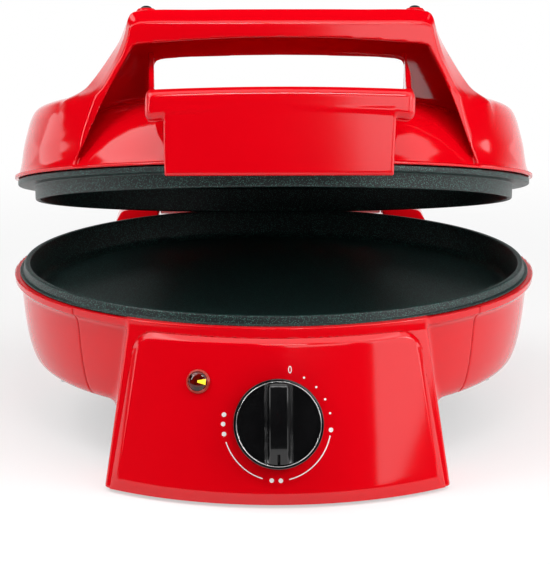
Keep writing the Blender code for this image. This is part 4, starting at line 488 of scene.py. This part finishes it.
# Bowl: the round red moulding under the pan, with a thin flange, a full side and a lip turned in at the
# bottom. Two lugs at the back carry the hinge pins. It ends at a seam on each side of the front moulding.
BOWL_RADIUS, RIM_HEIGHT, BOWL_BOTTOM, LIP_RADIUS, NECK_RADIUS = 0.1614, 0.096, 0.0402, 0.138, 0.1549
SEAM_ANGLE, GAP = radians(47.5), 0.0003
BOWL_SIDE = ((0.998, 0.93), (0.985, 0.90), (0.978, 0.868), (0.973, 0.80), (0.966, 0.60), (0.957, 0.40),
             (0.944, 0.22), (0.926, 0.085), (0.903, 0.018), (0.882, 0.0))
# The ears: a lug round the hinge axis, its root on the wall, its place and half its width to the side, and
# the slanting cut, 32 degrees from upright, that takes off its outer top corner.
EAR_RADIUS, EAR_REACH, EAR_ROOT, EAR_MIDDLE, EAR_HALF = 0.008, 0.0276, (0.1134, 0.072), 0.0919, 0.0151
CUT_X, CUT_UP, CUT_OUT, EAR_EDGE, PIN_TO = 0.097, 0.53, 0.848, 0.002, 0.0933


def bowl_field():
    drop = RIM_HEIGHT - BOWL_BOTTOM
    side = [(r * BOWL_RADIUS, BOWL_BOTTOM + z * drop) for r, z in BOWL_SIDE]
    outline = [(PAST_AXIS, RIM_HEIGHT), (BOWL_RADIUS, RIM_HEIGHT), side[0]] + flowing(side[1:])
    return distance_to(outline + [(PAST_AXIS, BOWL_BOTTOM)])


def neck_and_lip(reach, z):
    """How far a point is outside the bowl's neck, as it is open above, and its lip, as it is open below."""
    return (np.maximum(reach - NECK_RADIUS, RIM_HEIGHT - 2 * WALL - z),
            np.maximum(reach - LIP_RADIUS, z - BOWL_BOTTOM - 2 * WALL))


def ear_side():
    """A hinge ear seen from the side: a round lug over the hinge axis that runs down to the bowl's wall."""
    lug = [(HINGE_Y + EAR_RADIUS * cos(t), PARTING_HEIGHT + EAR_RADIUS * sin(t))
           for t in np.linspace(-1.1, pi, 21)]
    return distance_to(lug + [(HINGE_Y - EAR_REACH, PARTING_HEIGHT), EAR_ROOT])


def behind_seam(x, y):
    """How far a point lies behind the nearer of the two seams."""
    return np.abs(x) * cos(SEAM_ANGLE) + y * sin(SEAM_ANGLE)


BOWL, EAR = bowl_field(), ear_side()


def bowl_shell_field(x, y, z):
    reach, side = np.hypot(x, y), np.abs(x)
    bowl, (neck, lip) = BOWL(reach, z), neck_and_lip(reach, z)
    inside = np.maximum(bowl + WALL, z - RIM_HEIGHT + WALL)
    body = both(bowl, -np.minimum(inside, np.minimum(neck, lip)), FINE_EDGE)
    body = both(body, -(behind_seam(x, y) - GAP / 2), EDGE)
    slant = (z - PARTING_HEIGHT - EAR_RADIUS) * CUT_UP + (side - CUT_X) * CUT_OUT
    ears = both(both(EAR(y, z), slant, SOFT_EDGE), np.abs(side - EAR_MIDDLE) - EAR_HALF, EAR_EDGE)
    ears = np.maximum(ears, NECK_RADIUS - reach)
    bore = np.hypot(y - HINGE_Y, z - PARTING_HEIGHT) - PIN_BORE + np.maximum(side - PIN_TO, 0)
    return np.maximum(either_one(body, ears, SOFT_EDGE), -bore)


moulded("bowl_moulding", bowl_shell_field, (-0.165, -0.115, 0.037), (0.165, 0.189, 0.113), BASE_PLACE, "base",
        "base_shell")

# Front moulding: the bowl's front sector and, in one piece with it, the pod that stands on the table.
# The pod's front is a leaning cylinder, wider at the bottom, with a seat for the control panel.
PANEL_RADIUS, PANEL_TOP, PANEL_BOTTOM, PANEL_OUT = 0.163, 0.0905, 0.002, 0.0286
TOP_HALF, BOTTOM_HALF, POD_BACK = 0.0858, 0.0988, -0.112
LEAN = atan2(PANEL_OUT, RIM_HEIGHT - PANEL_BOTTOM)
DRAFT = atan2(BOTTOM_HALF - TOP_HALF, PANEL_TOP - PANEL_BOTTOM)
PANEL_THICK, PANEL_CORNER, CORNER_STEPS, FRAME_EDGE = 0.0025, 0.013, 12, 0.0034
POD_EDGE, POD_BACK_EDGE, POD_WALL, POD_CEILING = 0.0016, 0.002, 0.0026, 0.078
SEAT_FLOOR, SEAT_EDGE, OVERRUN = 0.003, 0.0003, 0.01
# The fillet between bowl and pod widens on its way down.
CHEEK_FILLET, CHEEK_WIDENING, WIDENS_FROM, WIDENS_OVER = 0.003, 0.004, 0.056, 0.014


def panel_front(z):
    return -BOWL_RADIUS - PANEL_OUT * (RIM_HEIGHT - z) / (RIM_HEIGHT - PANEL_BOTTOM)


def panel_half(z):
    return TOP_HALF + (BOTTOM_HALF - TOP_HALF) * (PANEL_TOP - z) / (PANEL_TOP - PANEL_BOTTOM)


def panel_outline(side_inset, top_inset, bottom_inset):
    """The panel's front outline, moved inward: sharp corners below, round ones above."""
    low, high = PANEL_BOTTOM + bottom_inset, PANEL_TOP - top_inset
    edge = FRAME_EDGE + GAP + side_inset
    radius = PANEL_CORNER - side_inset * 1.5
    right = [(panel_half(low) - edge, low)]
    middle_x, middle_z = panel_half(high) - edge - radius, high - radius
    for t in np.linspace(0, pi / 2, CORNER_STEPS):
        right.append((middle_x + radius * cos(t), middle_z + radius * sin(t)))
    return right + [(-x, z) for x, z in right[::-1]]


SEAT = distance_to(panel_outline(-GAP / 2, -GAP / 2, -OVERRUN))


def fascia_field(x, y, z):
    reach, sector = np.hypot(x, y), behind_seam(x, y)
    bowl, (neck, lip) = BOWL(reach, z), neck_and_lip(reach, z)
    curve = PANEL_RADIUS - np.sqrt(np.maximum(PANEL_RADIUS ** 2 - x ** 2, 1e-6))
    front = (panel_front(z) + curve - y) * cos(LEAN)
    front = front * np.sqrt(np.maximum(1 - (x / PANEL_RADIUS) ** 2, 0.1))
    flank = (np.abs(x) - panel_half(z)) * cos(DRAFT)
    pod = both(both(front, flank, POD_EDGE), PANEL_BOTTOM - z, EDGE)
    pod = both(np.maximum(pod, z - RIM_HEIGHT), y - POD_BACK, POD_BACK_EDGE)
    cheeks = both(bowl, sector + GAP / 2, EDGE)
    widening = CHEEK_WIDENING * np.clip((WIDENS_FROM - z) / WIDENS_OVER, 0, 1)
    body = either_one(cheeks, pod, CHEEK_FILLET + widening)
    inside = np.maximum(np.maximum(bowl + WALL, sector), z - RIM_HEIGHT + WALL)
    inside = np.minimum(inside, np.maximum(sector - OVERRUN, neck))
    inside = np.minimum(inside, np.maximum(lip, BOWL_BOTTOM - OVERRUN - z))
    pod_room = np.maximum(front + PANEL_THICK + SEAT_FLOOR, flank + POD_WALL)
    pod_room = np.maximum(pod_room, np.maximum(z - POD_CEILING, y - POD_BACK + POD_WALL))
    seat = np.maximum(SEAT(x, z), -(front + PANEL_THICK + GAP))
    return both(both(body, -np.minimum(inside, pod_room), FINE_EDGE), -seat, SEAT_EDGE)


moulded("front_moulding", fascia_field, (-0.122, -0.195, -0.001), (0.122, -0.085, 0.0985), BASE_PLACE, "base",
        "front_fascia", FINE_CELL)

# Control panel: a raised red panel set into the pod, with a chamfered border, bent to the pod's front.
# It is a moulding of its own, laid on the curve in narrow upright strips.
LAP, STRIP_RISE, CHAMFER, RAISE, SKIN = 0.0006, 0.0004, 0.0042, 0.0024, 0.0001
PANEL_FLAT, RIM_ROUND, FACE_ROUND, PANEL_STRIPS, BEND_STEPS, WELD = 0.003, 0.0002, 0.0012, 72, 4, 1e-6


def panel_normal(x):
    angle = asin(x / PANEL_RADIUS)
    return Vector((sin(angle) * cos(LEAN), -cos(angle) * cos(LEAN), sin(LEAN)))


def panel_point(x, out, z):
    """A point of the flat panel drawing, bent on to the pod's leaning cylinder."""
    y = panel_front(z) + PANEL_RADIUS * (1 - cos(asin(x / PANEL_RADIUS)))
    return Vector((x, y, z)) + out * panel_normal(x)


def finished(name, work, place, body, finish, replaced="", sharp=40):
    """A smooth piece from a bmesh, whose edges over an angle in degrees stay sharp."""
    bmesh.ops.recalc_face_normals(work, faces=work.faces)
    mesh = bpy.data.meshes.new(name)
    work.to_mesh(mesh)
    work.free()
    smooth(mesh)
    mesh.set_sharp_from_angle(angle=radians(sharp))
    return placed(name, mesh, place, body, finish, replaced)


def loft(work, rings, closed=False):
    """Joins rings of points with faces, one to the next, and closes the run or covers its two ends."""
    rows = [[work.verts.new(point) for point in ring] for ring in rings]
    for low, high in zip(rows, rows[1:] + rows[:1] if closed else rows[1:]):
        for i in range(len(low)):
            after = (i + 1) % len(low)
            work.faces.new((low[i], low[after], high[after], high[i]))
    if not closed:
        work.faces.new(rows[0][::-1])
        work.faces.new(rows[-1])


def bent_to_panel(work):
    """Cuts flat faces into narrow upright strips and lays them on the pod's cylinder."""
    reach = max(abs(vertex.co.x) for vertex in work.verts)
    for i in range(1, PANEL_STRIPS):
        everything = work.verts[:] + work.edges[:] + work.faces[:]
        cut = (reach * (2 * i / PANEL_STRIPS - 1), 0, 0)
        bmesh.ops.bisect_plane(work, geom=everything, plane_co=cut, plane_no=(1, 0, 0), dist=WELD)
    for vertex in work.verts:
        vertex.co = panel_point(vertex.co.x, -vertex.co.y, vertex.co.z)


def rounded_steps(points, radius):
    """A run of (inset, rise) steps with its inner corners rounded."""
    run = [points[0]]
    for before, here, after in zip(points, points[1:], points[2:]):
        here, before, after = Vector(here), Vector(before), Vector(after)
        back, forth = before - here, after - here
        reach = min(radius, back.length * 0.45, forth.length * 0.45)
        start, end = here + back.normalized() * reach, here + forth.normalized() * reach
        for i in range(BEND_STEPS + 1):
            t = i / BEND_STEPS
            run.append(tuple(start * (1 - t) ** 2 + here * 2 * t * (1 - t) + end * t ** 2))
    return run + [points[-1]]


# The rim laps over the seat's edge by LAP, so no gap shows round the panel.
steps = [(-LAP, SKIN), (-LAP, STRIP_RISE), (CHAMFER, RAISE), (CHAMFER + PANEL_FLAT, RAISE)]
border = [(0.0, -PANEL_THICK), (0.0, SKIN)] + rounded_steps(steps[:3], RIM_ROUND)[:-1]
border += rounded_steps(steps[1:], FACE_ROUND)[1:]
work = bmesh.new()
loft(work, [[(x, -out, z) for x, z in panel_outline(inset, inset * 0.7, max(inset, 0) * 1.4)]
            for inset, out in border])
bent_to_panel(work)
finished("panel_moulding", work, BASE_PLACE, "base", RED, "control_panel", 50)

# Printed scale round the knob: white pad print, a small nought at the off position, dots and two arcs.
KNOB_Z, PRINT_RISE = 0.045, 0.00012
SCALE_RADIUS, SCALE_DROP, SCALE_LEFT, SCALE_NARROW, SCALE_TALL = 0.0303, 0.0007, 0.0006, 0.984, 1.013
SCALE_ARCS, ARC_HALF = ((102, 167.5), (196, 251.5)), 0.0003
DOTS = {0.00065: (29.9, 46.5, 62.7, 78.4), 0.0013: (96, 176.5, 186.1, 260, 270.5, 280.4)}
NOUGHT_RADIUS, NOUGHT_TURN = 0.0317, radians(13.2)
NOUGHT_WIDE, NOUGHT_TALL, NOUGHT_HALF = 0.00078, 0.0018, 0.00024


def scale_point(angle, radius):
    """The place on the panel's face at an angle, clockwise from the top, and a radius round the knob."""
    turn = radians(angle)
    x, up = radius * sin(turn) * SCALE_NARROW, radius * cos(turn) * SCALE_TALL
    return panel_point(x - SCALE_LEFT, RAISE, KNOB_Z - SCALE_DROP + up * cos(LEAN))


def printed_run(work, middle, half, closed):
    """A flat printed line along a run of (angle, radius) points, standing a film's thickness proud."""
    places = [scale_point(*point) for point in middle]
    rings = []
    for i, here in enumerate(places):
        before = places[i - 1 if closed or i else 0]
        after = places[(i + 1) % len(places) if closed else min(i + 1, len(places) - 1)]
        across = (after - before).cross(panel_normal(here.x)).normalized() * half
        rise = panel_normal(here.x) * PRINT_RISE
        rings.append([here - across - rise, here + across - rise, here + across + rise, here - across + rise])
    loft(work, rings, closed)


def printed_dot(work, angle, radius):
    centre = scale_point(angle, SCALE_RADIUS)
    normal = panel_normal(centre.x)
    side = normal.cross(Vector((0, 0, 1))).normalized()
    up = side.cross(normal)
    turns = np.linspace(0, 2 * pi, 20, endpoint=False)
    loft(work, [[centre + normal * rise + (side * cos(t) + up * sin(t)) * radius for t in turns]
                for rise in (-PRINT_RISE, PRINT_RISE)])


def clouded(name, tones, scale, roughness, detail=3.0, bump=0.0, stretch=(1, 1, 1), **sockets):
    """A finish whose tone and roughness wander between two values, so many times in a metre."""
    finish, tree, place = new_finish(name)
    place = node(tree, "Mapping", Vector=place, Scale=stretch)
    cloud = node(tree, "TexNoise", Vector=place, Scale=scale, Detail=detail)
    tone = node(tree, "ValToRGB", tones=tones, Fac=cloud)
    rough = node(tree, "MapRange", Value=cloud, To_Min=roughness[0], To_Max=roughness[1])
    if bump:
        sockets["Normal"] = node(tree, "Bump", Strength=0.3, Distance=bump, Height=cloud)
    skin = node(tree, "BsdfPrincipled", Base_Color=tone, Roughness=rough, **sockets)
    node(tree, "OutputMaterial", Surface=skin)
    return finish


# White pad-printing ink: matt, opaque and slightly uneven, in 1.1 mm.
INK = clouded("white pad print", ((0, "#F6EEEA"), (1, "#FFFCFA")), 900, (0.45, 0.45), 2.0)
work = bmesh.new()
for first, last in SCALE_ARCS:
    printed_run(work, [(angle, SCALE_RADIUS) for angle in np.linspace(first, last, 30)], ARC_HALF, False)
for radius, angles in DOTS.items():
    for angle in angles:
        printed_dot(work, angle, radius)
nought = []
for t in np.linspace(0, 2 * pi, 28, endpoint=False):
    x = NOUGHT_RADIUS * sin(NOUGHT_TURN) + NOUGHT_WIDE * cos(t)
    up = NOUGHT_RADIUS * cos(NOUGHT_TURN) + NOUGHT_TALL * sin(t)
    nought.append((degrees(atan2(x, up)), hypot(x, up)))
printed_run(work, nought, NOUGHT_HALF, True)
finished("dial_print", work, BASE_PLACE, "base", INK)

# Pans: pressed aluminium with a dark speckled non-stick coating. The lower one has a double rim and a
# flat floor; the upper one has a ring that dips into it.
PAN_STEPS, SMALL_STEPS, ARC_STEPS = 200, 64, 6


def turned(name, profile, place, body, finish, replaced="", steps=SMALL_STEPS, closed=False):
    """A profile of (radius, height) points turned about the piece's own axis."""
    work = bmesh.new()
    verts = [work.verts.new((r, 0, z)) for r, z in profile]
    edges = [work.edges.new(pair) for pair in zip(verts, verts[1:])]
    if closed:
        edges.append(work.edges.new((verts[-1], verts[0])))
    bmesh.ops.spin(work, geom=verts + edges, cent=(0, 0, 0), axis=(0, 0, 1), angle=2 * pi, steps=steps)
    bmesh.ops.remove_doubles(work, verts=work.verts, dist=WELD)
    finished(name, work, place, body, finish, replaced)


def filleted(corners):
    """An open run of (x, z, radius) corners with an arc at each."""
    run = [corners[0][:2]]
    for before, here, after in zip(corners, corners[1:], corners[2:]):
        radius = here[2] if len(here) > 2 else 0
        if not radius:
            run.append(here[:2])
            continue
        before, middle, after = Vector(before[:2]), Vector(here[:2]), Vector(after[:2])
        back, forth = before - middle, after - middle
        half = back.angle(forth) / 2
        reach = min(radius / tan(half), back.length * 0.48, forth.length * 0.48)
        radius = reach * tan(half)
        back, forth = back.normalized(), forth.normalized()
        centre = middle + (back + forth).normalized() * radius / sin(half)
        start, end = middle + back * reach - centre, middle + forth * reach - centre
        first = atan2(start.y, start.x)
        turn = (atan2(end.y, end.x) - first + pi) % (2 * pi) - pi
        for i in range(ARC_STEPS + 1):
            angle = first + turn * i / ARC_STEPS
            run.append((centre.x + radius * cos(angle), centre.y + radius * sin(angle)))
    return run + [corners[-1][:2]]


def non_stick():
    """Speckled non-stick coating on aluminium: a dark green-black with fine pale flecks and an orange-peel
    surface, which gives a soft grey sheen at a low angle. The flecks are drawn 0.8 mm apart, coarser than
    real, so that they show, and so is the peel, in 0.6 mm."""
    finish, tree, place = new_finish("speckled non-stick coating")
    flecks = node(tree, "TexVoronoi", {"feature": "F1"}, Vector=place, Scale=1250.0)
    mask = node(tree, "ValToRGB", tones=((0.18, "#55897F"), (0.36, "#131D1E")), Fac=flecks.outputs["Distance"])
    grain = node(tree, "TexNoise", Vector=place, Scale=1600.0, Detail=2.0)
    bump = node(tree, "Bump", Strength=0.35, Distance=0.0003, Height=grain)
    sheen = node(tree, "MapRange", Value=grain, To_Min=0.3, To_Max=0.5)
    coat = node(tree, "BsdfPrincipled", Base_Color=mask, Roughness=sheen, IOR=1.45, Normal=bump)
    node(tree, "OutputMaterial", Surface=coat)
    return finish


COATING = non_stick()
PAN_RADIUS, SHEET = 0.152, 0.0018
CREST, LEDGE, PAN_FLOOR, PAN_EDGE = PARTING_HEIGHT, 0.0974, 0.084, 0.1582
lower_profile = filleted([
    (0, PAN_FLOOR), (0.1465, PAN_FLOOR, 0.006), (PAN_RADIUS, CREST, 0.0011), (0.1552, CREST, 0.0011),
    (0.156, LEDGE, 0.0006), (PAN_EDGE, LEDGE, 0.0009), (PAN_EDGE, 0.0963, 0.0003), (0.1546, 0.0963),
    (0.1483, PAN_FLOOR - SHEET, 0.006), (0, PAN_FLOOR - SHEET)])
turned("lower_pan_pressing", lower_profile, BASE_PLACE, "base", COATING, "lower_pan", PAN_STEPS)
UPPER_FLOOR, LIP_GAP, UPPER_EDGE, RING_LOW = 0.009, 0.0006, 0.1586, -0.0083
LIP_TOP = FLANGE_LOW - 2 * GAP
upper_profile = filleted([
    (0, UPPER_FLOOR + SHEET), (0.1433, UPPER_FLOOR + SHEET, 0.002), (0.1469, LIP_GAP + SHEET * 2),
    (UPPER_EDGE - SHEET, LIP_GAP + SHEET), (UPPER_EDGE - SHEET, LIP_TOP), (UPPER_EDGE, LIP_TOP, 0.0006),
    (UPPER_EDGE, LIP_GAP, 0.0009), (0.1483, LIP_GAP, 0.001), (0.1479, RING_LOW, 0.0012),
    (0.1451, RING_LOW, 0.0012), (0.1433, UPPER_FLOOR, 0.003), (0, UPPER_FLOOR)])
turned("upper_pan_pressing", upper_profile, LID_PLACE, "lid", COATING, "upper_pan", PAN_STEPS)

# Knob: gloss black ABS, moulded: a round cap with a flat face, a straight grip across it and a bright
# ring round the face. A groove at the grip's lower end is the pointer. It pushes on to the shaft.
KNOB_RADIUS, KNOB_LOW, KNOB_HIGH, KNOB_GAP, GRIP_RISE, KNOB_STEPS = 0.0257, 0.0005, 0.0129, 0.0006, 0.0046, 96
knob_middle = BASE_PLACE @ panel_point(0, RAISE + KNOB_GAP, KNOB_Z)
KNOB_PLACE = Matrix.Translation(knob_middle) @ Matrix.Rotation(pi / 2 - LEAN, 4, "X")
# Gloss black ABS: near-black with a mirror skin and the faint haze of handling, in 8 mm.
BLACK_GLOSS = clouded("gloss black ABS", ((0, "#0A0A0B"), (1, "#121213")), 120, (0.05, 0.13), IOR=1.54)
# Bright chrome plate: a mirror with the faintest waviness, in 12 mm.
CHROME = clouded("bright chrome plate", ((0.3, "#DCDDDE"), (0.7, "#E9E9EA")), 80, (0.03, 0.07), bump=0.00002,
                 Metallic=1.0)
FACE, GROOVE, GROOVE_IN, GROOVE_OUT = KNOB_HIGH - 0.0012, KNOB_HIGH - 0.0018, 0.0231, 0.0238
HUB_RADIUS, HUB_HIGH, SOCKET_RADIUS, CAP_WALL = 0.0105, 0.0055, 0.0035, 0.002
knob_profile = filleted([
    (0, FACE), (GROOVE_IN, FACE), (GROOVE_IN, GROOVE), (GROOVE_OUT, GROOVE),
    (GROOVE_OUT, KNOB_HIGH - 0.0009, 0.0002), (0.0251, KNOB_HIGH - 0.001, 0.0005),
    (KNOB_RADIUS, KNOB_LOW, 0.0004), (HUB_RADIUS, KNOB_LOW), (HUB_RADIUS, HUB_HIGH), (SOCKET_RADIUS, HUB_HIGH),
    (SOCKET_RADIUS, FACE - CAP_WALL), (0, FACE - CAP_WALL)])
turned("knob_cap", knob_profile, KNOB_PLACE, "knob", BLACK_GLOSS, "control_knob", KNOB_STEPS)
GRIP_ENDS, GRIP_FOOT, GRIP_TOP, NOTCH, NOTCH_DEPTH = 0.0229, 0.0076, 0.0046, 0.0008, 0.0026
FALL_FROM, FALL, TAIL_FROM, TAIL_OVER, TAIL_FALL, NOTCH_TO = -0.0112, 0.0026, 0.0197, 0.0025, 0.0012, -0.0168


def grip_section(y):
    """The grip cut across: sloping sides, a groove and a flat top that falls away at the pointer's end."""
    past = max(FALL_FROM - y, 0) / (GRIP_ENDS + FALL_FROM)
    top = KNOB_HIGH + GRIP_RISE - FALL * past ** 1.4 - TAIL_FALL * max((y - TAIL_FROM) / TAIL_OVER, 0) ** 2
    depth = NOTCH_DEPTH if -GRIP_ENDS + 0.0006 < y < NOTCH_TO else 0.0
    half = [(GRIP_FOOT + 0.0004, FACE - 0.001), (GRIP_FOOT + 0.0004, FACE + 0.0001),
            (GRIP_FOOT - 0.0007, FACE + 0.0013), (0.0063, FACE + 0.0018), (0.0056, FACE + 0.0030),
            (GRIP_TOP + 0.0006, top - 0.0006), (GRIP_TOP, top), (NOTCH, top), (0.0001, top - depth)]
    return [(x, y, z) for x, z in half] + [(-x, y, z) for x, z in half[::-1]]


RING_MIDDLE, RING_HALF, RING_ROUND, RING_FOOT = 0.02345, 0.0003, 0.0005, KNOB_HIGH - 0.0017
ring_profile = [(RING_MIDDLE + RING_HALF * cos(t), KNOB_HIGH - RING_ROUND + RING_ROUND * sin(t))
                for t in np.linspace(0, pi, 9)]
ring_profile += [(RING_MIDDLE - RING_HALF, RING_FOOT), (RING_MIDDLE + RING_HALF, RING_FOOT)]
turned("knob_ring", ring_profile, KNOB_PLACE, "knob", CHROME, "knob_trim_ring", KNOB_STEPS, True)
work = bmesh.new()
cuts = [-GRIP_ENDS + 0.0008, -0.0225, -0.0215, -0.0205, -0.0195, -0.0185, -0.0175, -0.01685, -0.01675,
        -0.0157, -0.0146, -0.0136, FALL_FROM, 0, TAIL_FROM, 0.0204, 0.0211, 0.0217, GRIP_ENDS - 0.0008]
loft(work, [grip_section(y) for y in cuts])
for vertex in work.verts:
    limit = sqrt(GRIP_ENDS ** 2 - vertex.co.x ** 2) - max(vertex.co.z - KNOB_HIGH, 0) * 0.12
    if abs(vertex.co.y) > GRIP_ENDS - 0.001:
        vertex.co.y = copysign(limit, vertex.co.y)
bmesh.ops.remove_doubles(work, verts=work.verts, dist=WELD)
grip = finished("knob_grip", work, KNOB_PLACE, "knob", BLACK_GLOSS, sharp=30)
soft = grip.modifiers.new("rounded edges", "BEVEL")
soft.width, soft.segments, soft.limit_method, soft.angle_limit = 0.0002, 2, "ANGLE", radians(35)

# Indicator lamp: a clear cap with a pale rim pressed into the panel. Behind it a dark red well, where a
# neon tube glows amber to the right of the middle.
LAMP_X, LAMP_Z, LAMP_RADIUS = -0.0441, 0.0665, 0.0069
STEM_RADIUS, STEM_END, WELL_RADIUS, DOME_FOOT, DOME_RISE = 0.0036, -0.0118, 0.0056, 0.0013, 0.002
lamp_at = BASE_PLACE @ panel_point(LAMP_X, RAISE, LAMP_Z)
LAMP_PLACE = Matrix.Translation(lamp_at) @ panel_normal(LAMP_X).to_track_quat("Z", "Y").to_matrix().to_4x4()
# Clear polycarbonate over a pale seat: a milky pink rim, cloudy in 2.4 mm. Round the tube it shows a dark
# red-brown well with darker bands, 3.8 mm apart, under a mirror skin.
RIM_CAP = clouded("clear polycarbonate rim", ((0, "#8E1710"), (1, "#C24A3A")), 420, (0.08, 0.08), 2.0,
                  IOR=1.58)
WELL = clouded("dark red lamp well", ((0.4, "#1D0302"), (0.65, "#6B0B05")), 260, (0.05, 0.05), 1.0, IOR=1.58)
rim_profile = filleted([
    (0.0054, 0.0012), (WELL_RADIUS, 0.0019, 0.0003), (0.0061, 0.0021, 0.0004), (LAMP_RADIUS, 0.0008, 0.0004),
    (LAMP_RADIUS, SKIN), (STEM_RADIUS, SKIN), (STEM_RADIUS, STEM_END), (0, STEM_END)])
turned("lamp_cap", rim_profile, LAMP_PLACE, "base", RIM_CAP, "indicator_lens")
well_profile = [(0, DOME_FOOT + DOME_RISE)]
well_profile += [(WELL_RADIUS * sin(t), DOME_FOOT + DOME_RISE * cos(t))
                 for t in np.linspace(0.15, 1.57, 10)]
well_profile += [(WELL_RADIUS, 0.0011), (0, 0.0011)]
turned("lamp_well", well_profile, LAMP_PLACE, "base", WELL)
NEON_FROM, NEON_LONG, NEON_HALF, NEON_FLARE = 0.0003, 0.0046, 0.0006, 0.0011
NEON_RISE, NEON_DEEP = 0.00145, 0.0008
rings = []
for share in np.linspace(0, 1, 7):
    x, half = NEON_FROM + NEON_LONG * share, NEON_HALF + NEON_FLARE * share
    crown = NEON_RISE + DOME_RISE * sqrt(1 - (x / WELL_RADIUS) ** 2)
    rings.append([(x, -half, crown - NEON_DEEP), (x, half, crown - NEON_DEEP), (x, half, crown - SKIN),
                  (x, 0, crown), (x, -half, crown - SKIN)])
work = bmesh.new()
loft(work, rings)
# The lit neon tube: amber yellow, uneven in 2 mm as a neon flame is.
finish, tree, place = new_finish("lit amber neon")
flame = node(tree, "TexNoise", Vector=place, Scale=500.0)
tone = node(tree, "ValToRGB", tones=((0, "#D9A400"), (1, "#FFF04A")), Fac=flame)
lit = node(tree, "BsdfPrincipled", Base_Color=tone, Roughness=0.2, Emission_Color=tone, Emission_Strength=0.7)
node(tree, "OutputMaterial", Surface=lit)
finished("lamp_neon", work, LAMP_PLACE, "base", finish)

# Lid feet: on each end of the bridge a low red cup with a polished black rubber button plugged into it.
# The open lid stands on the two buttons.
FOOT_X, FOOT_Y, CUP_LOW, CUP_FLOOR, FOOT_TIP = 0.079, -0.088, 0.0973, 0.0016, PARTING_HEIGHT
BUTTON_RADIUS, BUTTON_ROUND, BUTTON_LOW = 0.0033, 0.0017, CUP_LOW + 0.0018
cup_profile = filleted([
    (0, CUP_LOW + CUP_FLOOR), (0.0034, CUP_LOW + CUP_FLOOR), (0.0035, CUP_LOW + 0.0031, 0.0003),
    (0.0049, CUP_LOW + 0.0028, 0.001), (0.0062, CUP_LOW + 0.0011, 0.0005), (0.0053, CUP_LOW, 0.0002),
    (0, CUP_LOW)])
button_profile = [(BUTTON_RADIUS * sin(t), FOOT_TIP - BUTTON_ROUND + BUTTON_ROUND * cos(t))
                  for t in np.linspace(0, pi / 2, 9)]
button_profile += [(BUTTON_RADIUS, BUTTON_LOW), (0, BUTTON_LOW)]
for label, side in (("left", -1), ("right", 1)):
    place = LID_PLACE @ Matrix.Translation((side * FOOT_X + aside(HOOD_HEIGHT), FOOT_Y, 0))
    turned("foot_cup_" + label, cup_profile, place, "lid", RED, "lid_foot_cup_" + label)
    turned("foot_button_" + label, button_profile, place, "lid", BLACK_GLOSS, "lid_foot_" + label)


# The underside's covers, legs and feet, the screws, hinge pins and bushes, and the heating parts inside.
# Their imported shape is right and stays: they get their finish, and smooth shading on round faces.
def dress(finish, *names):
    for name in names:
        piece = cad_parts[name]
        mesh = piece.data
        mesh.materials.clear()
        mesh.materials.append(finish)
        if "custom_normal" in mesh.attributes:
            mesh.attributes.remove(mesh.attributes["custom_normal"])
        smooth(mesh)
        piece.modifiers.new("joined corners", "WELD").merge_threshold = WELD
        piece.modifiers.new("sharp edges", "EDGE_SPLIT").split_angle = radians(32)


def black_rubber():
    """Black rubber, moulded: near-black, soft sheen, with a fine tooth and a trace of dust. The tooth is
    drawn in 0.45 mm, coarser than real, and the dust in 11 mm."""
    finish, tree, place = new_finish("moulded black rubber")
    tooth = node(tree, "TexNoise", Vector=place, Scale=2200.0, Detail=2.0)
    bump = node(tree, "Bump", Strength=0.25, Distance=0.0002, Height=tooth)
    dust = node(tree, "TexNoise", Vector=place, Scale=90.0, Detail=4.0)
    tone = node(tree, "ValToRGB", tones=((0, "#131313"), (1, "#262524")), Fac=dust)
    rough = node(tree, "MapRange", Value=dust, To_Min=0.4, To_Max=0.7)
    skin = node(tree, "BsdfPrincipled", Base_Color=tone, Roughness=rough, IOR=1.5, Normal=bump)
    node(tree, "OutputMaterial", Surface=skin)
    return finish


# Matt black polypropylene with a spark-eroded grain, drawn in 0.8 mm, coarser than real, so that it shows.
dress(clouded("spark-grained black polypropylene", ((0.3, "#161617"), (0.7, "#242425")), 1300, (0.5, 0.7),
              bump=0.0002), "bottom_cover", "pod_floor", "rear_leg_left", "rear_leg_right", "indicator_holder")
dress(black_rubber(), "rubber_foot_front_left", "rubber_foot_front_right", "rubber_foot_rear_left",
      "rubber_foot_rear_right", "cord_gland")
# Zinc-plated steel: bright grey with a soft cloudy haze from the bath, in 3 mm.
dress(clouded("zinc-plated steel", ((0.3, "#B4B6B8"), (0.7, "#CDCFD0")), 300, (0.22, 0.38), bump=0.00005,
              Metallic=1.0), *(f"cover_screw_{i}" for i in range(1, 5)), "hinge_pin_left", "hinge_pin_right",
      "thermostat_nut", "thermostat_shaft")
# Natural nylon, moulded: a warm off-white with a waxy sheen, clouded in 7 mm.
dress(clouded("natural nylon", ((0.3, "#D8D6CB"), (0.7, "#E6E4DA")), 150, (0.35, 0.5), bump=0.00005),
      "hinge_bush_left", "hinge_bush_right")
# Heater tube: steel with patches of brown-grey oxide, in 17 mm, where it has glowed.
dress(clouded("oxidised heater tube", ((0.3, "#4B4440"), (0.7, "#83796C")), 60, (0.35, 0.6), bump=0.00005,
              Metallic=0.9), "lower_heating_element", "upper_heating_element")
# Aluminised sheet: bright, with the streaks of the rolls across it, 0.9 mm apart.
dress(clouded("rolled aluminised sheet", ((0.3, "#BEBFC1"), (0.7, "#DADBDC")), 90, (0.15, 0.35), 4.0, 0.00003,
              (1, 12, 1), Metallic=1.0), "lower_heat_reflector", "upper_heat_reflector", "thermostat_body")
# Unglazed steatite, pressed and fired: a chalky cream with a grain in 1.4 mm.
dress(clouded("unglazed steatite", ((0.3, "#D8CDB4"), (0.7, "#EFE8D6")), 700, (0.6, 0.8), bump=0.0001),
      "terminal_block")
